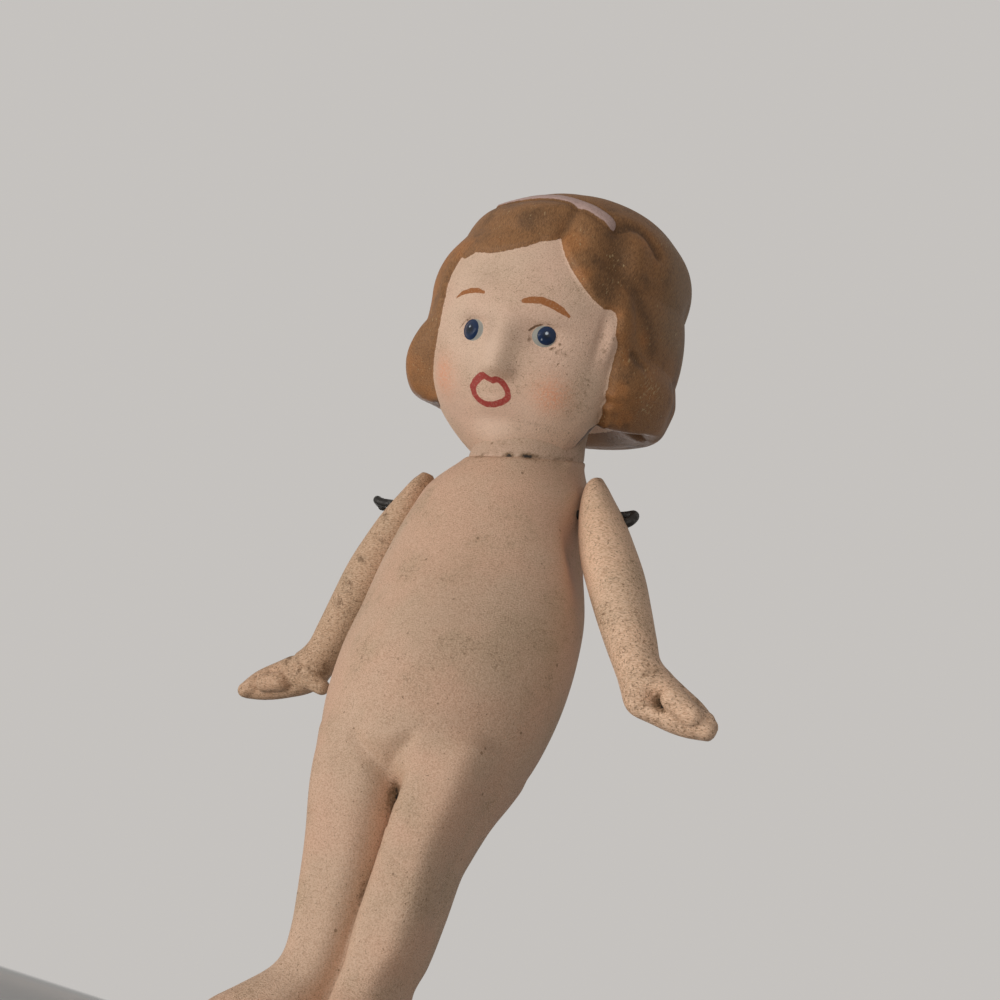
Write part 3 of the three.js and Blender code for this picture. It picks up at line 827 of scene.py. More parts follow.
    # Painted highlight on the chin, the lower cheeks and down the nose
    painted_highlight_patches: Patches = (
        (-2, -50, 15, 9, 0.65), (-27, -40, 9, 10, 0.7), (22, -45, 11, 8, 0.7), (-2, -22, 3, 5, 0.6),
    )
    gilt_patches: Patches = (
        (68, -21, 12, 8, 1.0), (24, 18, 6, 8, 0.45), (40, 14, 6, 8, 0.45), (-12, 38, 14, 6, 0.5),
        (-58, -20, 8, 8, 0.4),
    )
    hair_locks: Patches = (
        (27, 22, 7, 14, 0.7), (48, 27, 6, 8, 0.8), (50, 1, 5, 8, 0.5), (72, 22, 12, 10, 0.4),
        (57, -25, 9, 8, 0.8), (-45, 20, 12, 12, 0.3),
    )
    crown_forms: Patches = ((8, 60, 45, 14, -1.0),)
    ear: Patches = ((45.5, -9, 2.8, 9, 0.75), (40.6, -8, 1.8, 8, -0.42))
    cheeks: Patches = ((-30, -33, 8, 8, 1.0), (27.5, -35, 8.5, 7, 1.0))
    shade_patches: Patches = (
        (7.5, -17, 5, 9, 1.0), (-4, -14, 3, 5, 0.7), (18, -9, 9, 3.5, 0.8), (-15, -10, 8, 3, 0.6),
        (40, -18, 6, 10, 0.5), (2, -30, 9, 2.5, 0.5), (-12, 6, 8, 7, 0.4), (30, -2, 8, 5, 0.35),
    )
    # Nose tip, nose bridge, lips, line of the mouth, hollow under it, and chin, in millimetres on the face
    middle_forms: Patches = (
        (0.4, -11, 2.1, 1.9, 1.7), (0.4, -7.4, 2.2, 3.6, 0.8), (-0.6, -15.3, 3.4, 2.4, 0.55),
        (-0.5, -15.1, 2.4, 0.5, -0.15), (0, -18.9, 4, 1.2, -0.5), (0.4, -21.2, 4.5, 2.4, 1.3),
    )
    # Nostrils, eye sockets and cheeks, on both sides of the middle
    paired_forms: Patches = ((2, -11.6, 1.2, 1.2, 0.35), (6.2, -6, 3, 2.4, -0.9), (9.5, -14, 5, 4.5, 0.9))

    def face_angles(self, directions: Array) -> tuple[Array, Array]:
        """Longitude from the face and latitude, in degrees."""
        lon = np.degrees(np.arctan2(directions[:, 0], -directions[:, 1]))
        return lon, np.degrees(np.arcsin(np.clip(directions[:, 2], -1.0, 1.0)))

    def skull(self, directions: Array) -> Array:
        """Reach of the plain oval of the head."""
        return 1.0 / np.linalg.norm(directions / np.array(self.half_sizes), axis=1)

    def into_hair(self, lon: Array, lat: Array) -> tuple[Array, Array]:
        """Degrees into the hair from its edge round the face, and from the bottom of the bob."""
        nearest = np.full(len(lon), np.inf)
        inside = np.zeros(len(lon), bool)
        for start, end in zip(self.face_edge, self.face_edge[1:] + self.face_edge[:1]):
            nearest = np.minimum(nearest, line_gap(lon, lat, start, end))
            (ax, ay), (bx, by) = start, end
            if ay != by:
                inside ^= ((ay > lat) != (by > lat)) & (lon < ax + (lat - ay) / (by - ay) * (bx - ax))
        return np.where(inside, -nearest, nearest), lat - self.bob_edge(lon)

    def face_relief(self, x: Array, z: Array, lon: Array, lat: Array) -> Array:
        """Height of the face over the oval.

        Args:
            x: Place across the face in millimetres.
            z: Height on the face in millimetres.
            lon: Longitude in degrees.
            lat: Latitude in degrees.

        Returns:
            Heights in millimetres.
        """
        relief = sum(soft_patches(x, z, self.middle_forms))
        relief += sum(soft_patches(np.abs(x - self.face_aside), z, self.paired_forms))
        return relief + sum(eye.relief(lon, lat) for eye in self.eyes)

    def reach(self, directions: Array) -> Array:
        """Reach of the modelled head in each direction, in millimetres."""
        lon, lat = self.face_angles(directions)
        turned = np.abs(lon)
        oval = self.skull(directions)
        front = step(-directions[:, 1], 0.0, 0.5)
        relief = self.face_relief(directions[:, 0] * oval, directions[:, 2] * oval, lon, lat)
        from_face, from_bottom = self.into_hair(lon, lat)
        slanted = mix(1.0, step(-from_bottom, 0.0, self.nape_slant), step(turned, *self.slant_round))
        nape = self.nape_depth * step(turned, *self.nape_round) * step(-lat, *self.nape_below) * slanted
        skin = (oval + front * relief + sum(soft_patches(lon, lat, self.ear))) * (1.0 - nape)
        hair = self.hair_form(directions, from_face, oval)
        curl = mix(*self.curls, step(np.sin(np.radians(lon)), -0.5, 0.5))
        curled = np.sqrt(1.0 - (1.0 - np.clip(from_bottom / curl, 0.0, 1.0)) ** 2)
        return mix(skin, np.maximum(hair, skin), step(from_face, *self.hair_brink) * curled)

    def hair_form(self, directions: Array, from_face: Array, oval: Array) -> Array:
        """Reach of the moulded hair.

        Args:
            directions: Unit directions from the middle of the head.
            from_face: Degrees into the hair from its edge round the face.
            oval: Reach of the plain oval.

        Returns:
            Reach in millimetres.
        """
        lon, lat = self.face_angles(directions)
        turned = np.abs(lon)
        level = directions * np.array([1.0, 1.0, 0.0]) - np.array([0.0, TINY, 0.0])
        level /= np.linalg.norm(level, axis=1, keepdims=True)
        sway = self.wave_sway * np.cos(np.radians(3 * lon))
        waves = np.sin(np.radians(lat * self.waves_round + sway)) * (1.0 - step(lat, *self.wave_fade))
        lip = oval + 0.5 * self.hair_thickness
        to_left = step(np.sin(np.radians(lon)), -0.6, 0.6)
        crown = self.skull(level) * mix(self.right_reach(lat), self.left_reach(lat), to_left)
        crown += sum(soft_patches(lon, lat, self.crown_forms))
        flick = hump(lat - 2, 9) - hump(lat + 24, 10)
        crown += self.back_flick * step(turned, *self.flick_round) * flick
        crown = mix(np.minimum(crown, lip + self.fringe_rise), crown, step(turned, *self.fringe_round))
        grown = step(from_face, 0.0, self.thickening)
        kept = 1.0 - step(turned, *self.loose_round) * (1.0 - step(lat, *self.loose_below))
        hair = mix(lip, mix(crown, np.maximum(crown, lip), kept), grown) + self.wave_height * waves * grown
        hair += sum(soft_patches(lon, lat, self.hair_locks))
        hair -= sum(hollow.depth * hollow.strength(directions) for hollow in self.hair_hollows)
        band = self.band.distance(directions)
        return hair + self.band_rise * step(-band, -0.35, 0.3) - 0.15 * hump(band - 0.4, 0.3)

    def turn(self) -> Array:
        """Matrix that sets the head on the neck."""
        nod, tilt, turn = (math.radians(angle) for angle in self.nod_tilt_turn)
        matrix = Matrix.Rotation(turn, 3, "Z") @ Matrix.Rotation(tilt, 3, "Y") @ Matrix.Rotation(nod, 3, "X")
        return np.array(matrix)

    def neck_points(self, along: Array, angle: Array) -> Array:
        """Places of the neck, from its sloping foot up into the head.

        Args:
            along: Share of the way up.
            angle: Angle from the front.

        Returns:
            Points in millimetres.
        """
        foot_share, top_share = self.neck_ends
        rise = np.clip((along - foot_share) / (1.0 - foot_share - top_share), 0.0, 1.0)
        rim = np.clip(along / foot_share, 0.0, 1.0) * np.clip((1.0 - along) / top_share, 0.0, 1.0)
        waist = self.neck_waist(rise)
        x = np.sin(angle) * rim * self.neck_half_width * waist
        y = -np.cos(angle) * rim * self.neck_half_depth * waist
        level = self.neck_z - self.neck_sink + math.tan(math.radians(self.neck_slope)) * y
        foot = np.stack([x + self.neck_aside, y, level], axis=1)
        top = np.stack([x + self.neck_top_aside, y, np.zeros(len(x))], axis=1) + np.array(self.middle)
        return mix(foot, top, rise[:, None])

    def build(self) -> bpy.types.Object:
        """Models and paints the head.

        Returns:
            The finished piece.
        """
        head = Clay("painted_head", self.columns, self.rows)
        flat = np.sin(math.pi * head.along)
        crowded = head.angle - self.crowding * np.sin(head.angle)
        rise = -np.cos(math.pi * head.along)
        directions = np.stack([np.sin(crowded) * flat, -np.cos(crowded) * flat, rise], axis=1)
        turn = self.turn()
        middle = np.array(self.middle)
        points = directions * self.reach(directions)[:, None] @ turn.T + middle
        neck = Clay("neck", self.neck_columns, self.neck_rows)
        collar = self.neck_points(neck.along, neck.angle)
        off_middle = np.array([0.0, 0.0, 1e-3])
        from_middle = (collar - middle) @ turn - off_middle
        reach = np.linalg.norm(from_middle, axis=1)
        neck_directions = from_middle / np.maximum(reach, TINY)[:, None]
        under_chin = reach - self.reach(neck_directions)
        head.join(neck)
        head.press(np.vstack([points, collar]) + self.shift)
        every = np.vstack([directions, neck_directions])
        on_head = np.concatenate([np.ones(len(directions)), np.zeros(len(collar))])
        self.paint_masks(head, every, on_head, self.neck_dirt_and_shade(points, collar, under_chin))
        return head.piece("painted_head", self.paint.material("face_and_hair_paint"))

    def neck_dirt_and_shade(self, points: Array, collar: Array, under_chin: Array) -> Array:
        """Darkening in the creases above and below the neck: soiling and painted shade.

        Args:
            points: Places of the head.
            collar: Places of the neck.
            under_chin: Distance of the neck's points from the head's surface.

        Returns:
            Soiling and painted shade for the head's vertices, then the neck's.
        """
        across = points[:, 0] - self.neck_aside
        around = np.hypot(across / self.neck_half_width, (points[:, 1] + 1.0) / self.neck_half_depth)
        low = 1.0 - step(points[:, 2], self.neck_z - 1.0, self.neck_z + 9.0)
        # Painted shade and soiling in the crease under the chin
        chin = 0.34 * hump(around - 1.15, 0.2) * low * (0.35 + 0.65 * step(across, -3.0, 3.0))
        slope = math.tan(math.radians(self.neck_slope))
        over_joint = collar[:, 2] - self.neck_z - slope * collar[:, 1]
        # The joint line and its chips, over a faint darkening of the whole neck: soiling with painted shade
        # under the head
        joint = 0.09 * hump(over_joint, 0.9) + 0.22
        for x, y in self.chips:
            joint += hump(np.hypot(collar[:, 0] - x, collar[:, 1] - y), 0.8) * hump(over_joint, 0.7)
        # Painted shade on the neck where it runs up under the chin
        return np.concatenate([chin, np.maximum(0.34 * hump(under_chin, 0.9), joint)])

    def paint_masks(self, head: Clay, directions: Array, on_head: Array, dirt_and_shade: Array) -> None:
        """Stores what the finish needs to know on each vertex.

        Args:
            head: The joined head and neck.
            directions: Unit directions from the middle of the head.
            on_head: 1 on the head, 0 on the neck.
            dirt_and_shade: Soiling and painted shade in the creases of the neck.
        """
        lon, lat = self.face_angles(directions)
        off = FAR_OFF * (1.0 - on_head)
        from_face, from_bottom = self.into_hair(lon, lat)
        # Hair paint runs under the bob's edge; beside the left curl it also runs onto the jaw as a painted
        # shadow
        left_curl = step(lon, *self.curl_starts) * (1.0 - step(lon, *self.curl_stops))
        behind = step(np.abs(lon), *self.painted_back_round)
        under = 2.0 + np.maximum(self.painted_curl * left_curl, self.painted_back * behind)
        jaw_shadow = self.jaw_shadow_paint * left_curl * step(-from_bottom, 0.0, 1.5)
        in_hair = np.minimum(from_face + jaw_shadow, from_bottom + under)
        head.mask("hair", HEAD_DEGREE * in_hair - off)
        strokes = {"band": (self.band,), "brow": self.brows, "lip": (self.mouth,), "lid": self.lids}
        for name, lines in strokes.items():
            head.mask(name, np.minimum.reduce([line.distance(directions) for line in lines]) + off)
        ovals = {
            "eye_white": [(eye.white, eye.white_size) for eye in self.eyes],
            "iris": [(eye.iris, eye.iris_size) for eye in self.eyes],
            "glint": [(dot, (size, size)) for *dot, size in self.glints],
        }
        for name, places in ovals.items():
            head.mask(name, np.minimum.reduce([Eye.oval(lon, lat, *place) for place in places]) + off)
        head.mask("blush", sum(soft_patches(lon, lat, self.cheeks)) * on_head)
        # Darker hair: a few deeper patches, painted shade along the hollows, and a painted shadow under the
        # bob's edge, weaker at the back
        dark_and_shade = soft_patches(lon, lat, self.dark_patches)
        for hollow in self.hair_hollows:
            dark_and_shade.append(self.hollow_shade_paint * hollow.depth * hollow.strength(directions))
        dark_and_shade.append((1.0 - 0.6 * step(np.abs(lon), 88, 102)) * (1.0 - step(from_bottom, 0.0, 3.0)))
        head.mask("hollow", np.maximum.reduce(dark_and_shade))
        rubbed = step(lon, *self.rub_starts) * (1.0 - step(lon, *self.rub_stops))
        head.mask("rubbed", rubbed * step(lat, *self.rub_above))
        # Smudges on the face with painted shade in the ear's groove, joined with the neck's soiling and
        # painted shade
        smears_and_shade = np.maximum.reduce(soft_patches(lon, lat, self.smears_and_shade))
        head.mask("dirt_and_shade", np.maximum(smears_and_shade * on_head, dirt_and_shade))
        shade = np.minimum(sum(soft_patches(lon, lat, self.shade_patches)), 1.0)
        head.mask("shade", mix(self.neck_shade, shade, on_head))
        # Painted highlight on the chin, the lower cheeks and the nose
        head.mask("pale", np.maximum.reduce(soft_patches(lon, lat, self.painted_highlight_patches)) * on_head)
        head.mask("red", np.maximum.reduce(soft_patches(lon, lat, self.red_patches)))
        head.mask("gilt", np.maximum.reduce(soft_patches(lon, lat, self.gilt_patches)))


@dataclass
class PaintedBody:
    """The torso and the legs, moulded together with a groove between the legs."""

    paint: SkinPaint
    shift: Array
    leg_length: float = 40.0
    torso_length: float = 56.5
    belly_half_width: float = 18.3
    belly_half_depth: float = 13.7
    leg_half_width: float = 7.6
    leg_top_share: float = 1.24
    toe_out: float = 0.16
    neck_slope: float = 32.0
    shoulder_drop: float = 10.4
    seat: Profile = Profile([
        (0, 14.4), (6, 14.4), (8, 14.8), (10, 15.6), (12, 16.6), (15, 18), (20, 20), (26, 22.4),
    ])
    seat_softness: float = 1.0
    left_seat_sink: float = 0.2
    torso_power: float = 2.1
    torso_ends: Pair = (0.1, 0.2)
    torso_end_gap: float = 8.0
    legs_end: float = 1.05
    legs_end_gap: float = 6.0
    web_ends: Pair = (1.0, 1.2)
    web_end_gap: float = 3.0
    leg_fillet: float = 0.5
    web_fillet: float = 1.6
    hip_fillet: float = 2.6
    web_half_sizes: Pair = (3.2, 5.2)
    widest: float = 40.0
    halvings: int = 18
    sole_round: Pair = (1.3, 1.0)
    top_round: Pair = (0.9, 0.7)
    fold_depth: float = 0.58
    fold_mound: Patches = ((0.6, 41.0, 3.0, 1.8, 0.6),)
    toe_depth: float = 0.55
    toe_gaps: tuple[float, ...] = (4.6, 6.9, 9.0, 10.9)
    chips: tuple[Pair, ...] = ((6.8, -8.8), (8.2, -8.0), (11.4, -4.2), (-1.6, -9.6))
    spots: Patches = ((12.3, 47.3, 1.2, 1.2, 0.3), (15.7, 67.2, 1.0, 1.2, 0.2))
    shin_soil: Patches = ((11, 22, 3, 4, 0.25),)
    front_shade: Patches = ((6, 60, 6, 14, 0.5), (11, 24, 4, 8, 0.35))
    side_shade: Patches = ((15, 55, 5, 22, 0.45),)
    lean: Profile = Profile([
        (0, 0), (24, -0.1), (32, -0.4), (40, -0.35), (48, 0.3), (56, 0.95), (64, 1.3), (74, 0.9),
        (82, 0.4), (88, 0.35), (93, 0.85), (96.5, 1.85),
    ])
    columns: int = 250
    rows: int = 340
    sole_share: float = 0.05
    top_share: float = 0.97
    fold_line: tuple[Pair, ...] = ((-4.2, 40.9), (-2.6, 39.6), (1.0, 37.7), (3.0, 39.8), (4.6, 41.4))
    left_aside: Profile = Profile([
        (0, 0), (0.3, 0), (0.4, 0.1), (0.55, 0.15), (0.7, 0.35), (0.775, 0.7), (0.9, 1.3), (1.0, 1.45),
        (1.1, 1.2), (1.24, 0.6),
    ])
    left_slim: Profile = Profile([
        (0, 0), (0.3, 0), (0.4, -0.8), (0.55, -0.45), (0.7, 0.25), (0.775, 0.4), (0.9, 0.85), (1.0, 1.05),
        (1.1, 1.0), (1.24, 1.0),
    ])
    left_power: Pair = (2.8, 3.6)
    right_power: float = 3.2
    back_power: float = 2.1
    left_skew: float = 0.09
    right_trim: Profile = Profile([
        (0, 0), (0.3, 0.7), (0.5, 1), (0.8, 1.1), (0.95, 1.5), (1.08, 1.9), (1.24, 1.6),
    ])
    leg_lean: Profile = Profile([
        (0, 0), (0.2, 0.4), (0.42, 1), (0.8, 1), (1.0, 0.5), (1.15, 0),
    ])
    torso_width: Profile = Profile([
        (-0.13, 0.55), (-0.07, 0.67), (0.0, 0.79), (0.08, 0.89), (0.18, 0.965), (0.29, 1), (0.41, 0.99),
        (0.53, 0.97), (0.655, 0.905), (0.78, 0.815), (0.87, 0.755), (0.91, 0.695), (0.95, 0.612),
        (0.98, 0.545), (1, 0.522),
    ])
    torso_front: Profile = Profile([
        (-0.13, 0.2), (-0.07, 0.46), (-0.03, 0.72), (0.02, 0.9), (0.08, 0.98), (0.18, 1.03), (0.3, 1.05),
        (0.41, 1), (0.53, 0.93), (0.66, 0.88), (0.8, 0.84), (0.9, 0.8), (0.96, 0.75), (1, 0.725),
    ])
    torso_back: Profile = Profile([
        (-0.13, 0.25), (-0.07, 0.66), (0, 0.96), (0.08, 1.06), (0.18, 1.03), (0.3, 0.96), (0.42, 0.97),
        (0.55, 1), (0.68, 0.98), (0.8, 0.93), (0.9, 0.85), (0.96, 0.78), (1, 0.735),
    ])
    leg_width: Profile = Profile([
        (0, 0.77), (0.08, 0.84), (0.18, 0.72), (0.28, 0.62), (0.38, 0.64), (0.55, 0.74), (0.72, 0.84),
        (0.9, 0.97), (1.1, 1.03), (1.24, 0.95),
    ])
    leg_offset: Profile = Profile([
        (0, 0.86), (0.08, 0.86), (0.18, 0.72), (0.28, 0.62), (0.38, 0.65), (0.55, 0.72), (0.72, 0.78),
        (0.9, 0.88), (1.1, 0.98), (1.24, 1.0),
    ])
    leg_front: Profile = Profile([
        (0, 1.68), (0.08, 1.72), (0.17, 1.42), (0.25, 1.14), (0.34, 1.06), (0.5, 1.18), (0.68, 1.34),
        (0.85, 1.48), (0.98, 1.52), (1.1, 1.4), (1.24, 1.1),
    ])
    leg_back: Profile = Profile([
        (0, 0.95), (0.08, 1.04), (0.2, 0.98), (0.34, 0.94), (0.5, 0.98), (0.68, 1.03), (0.88, 1.13),
        (1.05, 1.26), (1.24, 1.2),
    ])

    def section(self, height: Array, ahead: Array) -> Callable[[Array, Array], Array]:
        """Makes the level sections of the body at the given heights.

        Args:
            height: Height of each section.
            ahead: Whether its point lies on the front side.

        Returns:
            Function from x and y to the near distance from the body's surface, negative inside.
        """
        share = (height - self.leg_length) / self.torso_length
        width = self.torso_width(share) * self.belly_half_width
        depth = np.where(ahead, self.torso_front(share), self.torso_back(share)) * self.belly_half_depth
        below = self.torso_end_gap * step(-share, *self.torso_ends)
        up = height / self.leg_length
        lean = self.leg_lean(up)
        front = self.leg_front(up) * self.leg_half_width
        back = self.leg_back(up) * self.leg_half_width
        offset = self.leg_offset(up) * self.leg_half_width
        thick = self.leg_width(up) * self.leg_half_width
        moved = self.left_aside(up)
        slim = self.left_slim(up)
        flattened = mix(*self.left_power, step(up, 0.15, 0.45))
        narrow = 0.5 * self.right_trim(up)
        toe_out = self.toe_out * (1.0 - step(up, 0.1, 0.3))
        above = self.legs_end_gap * step(up, self.legs_end, self.leg_top_share)
        past_web = self.web_end_gap * step(up, *self.web_ends)

        def distance(x: Array, y: Array) -> Array:
            torso = ellipse_distance(x, y, width, depth, self.torso_power) + below
            toe = toe_out * np.maximum(-y, 0.0)
            middle = y - (back - front) / 2
            deep = (front + back) / 2
            squared = np.where(middle < 0, flattened, self.back_power)
            aside = x - offset - 0.3 * lean - moved - toe + self.left_skew * lean * y
            left = ellipse_distance(aside, middle, thick - 1.1 * lean - slim, deep, squared)
            beside = -x - offset + 1.2 * lean + narrow - toe
            power = np.where(middle < 0, self.right_power, self.back_power)
            right = ellipse_distance(beside, middle, thick + 0.3 * lean - narrow, deep, power)
            legs = soft_union(left, right, self.leg_fillet) + above
            between = x - 1.5 * lean - 0.5 * moved
            web = ellipse_distance(between, y - 0.5, *self.web_half_sizes) + past_web
            return soft_union(soft_union(legs, web, self.web_fillet), torso, self.hip_fillet)

        return distance

    def reach(self, angle: Array, height: Array) -> Array:
        """Reach of the body from its middle line, found by halving."""
        low = np.zeros(len(angle))
        high = np.full(len(angle), self.widest)
        distance = self.section(height, np.cos(angle) > 0)
        for _ in range(self.halvings):
            middle = (low + high) / 2
            inside = distance(np.sin(angle) * middle, -np.cos(angle) * middle) < 0
            low = np.where(inside, middle, low)
            high = np.where(inside, high, middle)
        return (low + high) / 2

    def fold(self, x: Array, z: Array) -> Array:
        """Relief of the fold where the belly meets the thighs."""
        ends = zip(self.fold_line, self.fold_line[1:])
        crease = np.maximum.reduce([hump(line_gap(x, z, start, end), 1.0) for start, end in ends])
        return sum(soft_patches(x, z, self.fold_mound)) - self.fold_depth * crease

    def toes(self, points: Array) -> Array:
        """How far the grooves between the toes are pressed in."""
        side = np.abs(points[:, 0])
        ahead = -points[:, 1]
        splay = 0.1 * (ahead - 10.0)
        grooves = np.maximum.reduce([hump(side - place - splay, 0.4) for place in self.toe_gaps])
        return self.toe_depth * grooves * step(ahead, 8.5, 10.5) * (1.0 - step(points[:, 2], 4.0, 6.0))

    def build(self) -> bpy.types.Object:
        """Models and paints the body.

        Returns:
            The finished piece.
        """
        body = Clay("painted_body", self.columns, self.rows)
        sole, top = self.sole_share, self.top_share
        rim = np.clip(body.along / sole, 0, 1) * np.clip((1 - body.along) / (1 - top), 0, 1)
        up = np.clip((body.along - sole) / (top - sole), 0.0, 1.0)
        total = self.leg_length + self.torso_length
        height = up * total
        reach = self.reach(body.angle, height)
        reach += self.fold(np.sin(body.angle) * reach, height) * step(np.cos(body.angle), 0.2, 0.6)
        for from_edge, (radius, inset) in ((height, self.sole_round), (total - height, self.top_round)):
            edge = 1.0 - np.clip(from_edge / radius, 0.0, 1.0)
            reach -= inset * (1.0 - np.sqrt(1.0 - edge**2))
        x = np.sin(body.angle) * rim * reach
        y = -np.cos(body.angle) * rim * reach
        share = (height - self.leg_length) / self.torso_length
        slope = math.tan(math.radians(self.neck_slope)) * step(share, 0.6, 1.0)
        points = np.stack([x + self.lean(height), y, height + slope * y], axis=1)
        points[:, 1] += self.toes(points)
        self.seat_arms(points)
        body.press(points + self.shift)
        self.soil(body, points, total - height)
        return body.piece("painted_body", self.paint.material("body_skin_paint"))

    def seat_arms(self, points: Array) -> None:
        """Presses the flat round seats of the arms into the shoulders."""
        shoulder = self.leg_length + self.torso_length - self.shoulder_drop
        limit = self.seat(np.hypot(points[:, 1], points[:, 2] - shoulder))
        limit = limit - self.left_seat_sink * (points[:, 0] > 0)
        over = np.abs(points[:, 0]) - limit
        points[:, 0] -= np.sign(points[:, 0]) * 0.5 * (over + np.sqrt(over**2 + self.seat_softness))

    def soil(self, body: Clay, points: Array, below_top: Array) -> None:
        """Stores the soiling and painted shade of the neck joint and of the groove between the legs, the
        patches of soiling, and the painted shade.

        Args:
            body: The body's mesh.
            points: Places of its vertices.
            below_top: Distance below the neck joint, along the body.
        """
        x, y, z = points.T
        # The joint line and its chips, and a broader darkening below it: soiling with painted shade under the
        # head
        joint = 0.16 * hump(below_top, 0.8) + 0.14 * hump(below_top, 4.0)
        for chip_x, chip_y in self.chips:
            joint += 0.6 * hump(np.hypot(x - chip_x, y - chip_y), 0.9) * hump(below_top, 0.7)
        # The groove between the legs: soiling and painted shade, strongest at the crotch and the knees
        parting = self.lean(z) + 1.5 * self.leg_lean(z / self.leg_length) + 0.9 * step(z, 22.0, 34.0)
        groove = hump(x - parting, 0.8) * (1.0 - step(z, 36.5, 38.5)) * step(np.abs(y), 2.0, 4.0)
        dark_and_shade = 0.2 + 0.85 * hump(z - 34.8, 2.4) + 0.35 * hump(z - 21.5, 2.4)
        # Darker towards the soles and up the shins
        sole = 0.5 * (1.0 - step(z, 0.0, 2.0)) + 0.16 * (1.0 - step(z, 8.0, 30.0))
        patches = sum(soft_patches(x, z, self.spots))
        patches += sum(soft_patches(x, z, self.shin_soil)) * step(-y, -2, 2)
        body.mask("dirt_and_shade", np.maximum.reduce([joint, groove * dark_and_shade, sole, patches]))
        # Painted shade down the doll's left side, by the left knee and under the neck joint, with a grey
        # smudge on the belly
        front = sum(soft_patches(x, z, self.front_shade)) + 0.5 * hump(below_top, 3.0)
        body.mask("shade", front * step(-y, 0.0, 4.0) + sum(soft_patches(x, z, self.side_shade)))


@dataclass(frozen=True)
class HandMark:
    """A dent or bump on an arm: place along it, angle from the front, two widths, and rise in millimetres."""

    along: float
    angle: float
    length: float
    spread: float
    rise: float

    def strength(self, along: Array, angle: Array, wide: float = 1.0) -> Array:
        """How strongly the mark is felt at each place, from 0 to 1, made wider by a factor."""
        gap = (np.degrees(angle) - self.angle + 180) % 360 - 180
        return hump(along - self.along, wide * self.length) * hump(gap, wide * self.spread)

    def dirt_and_shade(self, along: Array, angle: Array) -> Array:
        """Darkening that gathers in a dent, more in a deep one: soiling and painted shade."""
        wide = 1.15 if self.rise < -0.3 else 1.5
        return self.strength(along, angle, wide) * np.clip(0.6 - 0.4 * self.rise, 0.0, 1.5)


@dataclass(frozen=True)
class Finger:
    """A finger or thumb on the hand, between two (along, angle, lift) stations, with a radius at each."""

    start: Triple
    end: Triple
    radii: Pair

    def points(self, along: Array, angle: Array, start: Array, end: Array) -> Array:
        """Places of the finger's surface.

        Args:
            along: Share of the way from start to end.
            angle: Angle round the finger.
            start: Middle of its root.
            end: Middle of its tip.

        Returns:
            Points in millimetres.
        """
        axis = end - start
        length = np.linalg.norm(axis)
        axis = axis / length
        across = np.cross(axis, [0.2, 0.5, 0.85])
        across /= np.linalg.norm(across)
        other = np.cross(axis, across)
        far = mix(-self.radii[0], length + self.radii[1], 0.5 - 0.5 * np.cos(math.pi * along))
        over = np.maximum(far - length, 0.0) / self.radii[1] + np.maximum(-far, 0.0) / self.radii[0]
        radius = mix(*self.radii, np.clip(far / length, 0.0, 1.0)) * np.sqrt(np.maximum(1.0 - over**2, 0.0))
        ring = np.cos(angle)[:, None] * across + np.sin(angle)[:, None] * other
        return start + far[:, None] * axis + radius[:, None] * ring


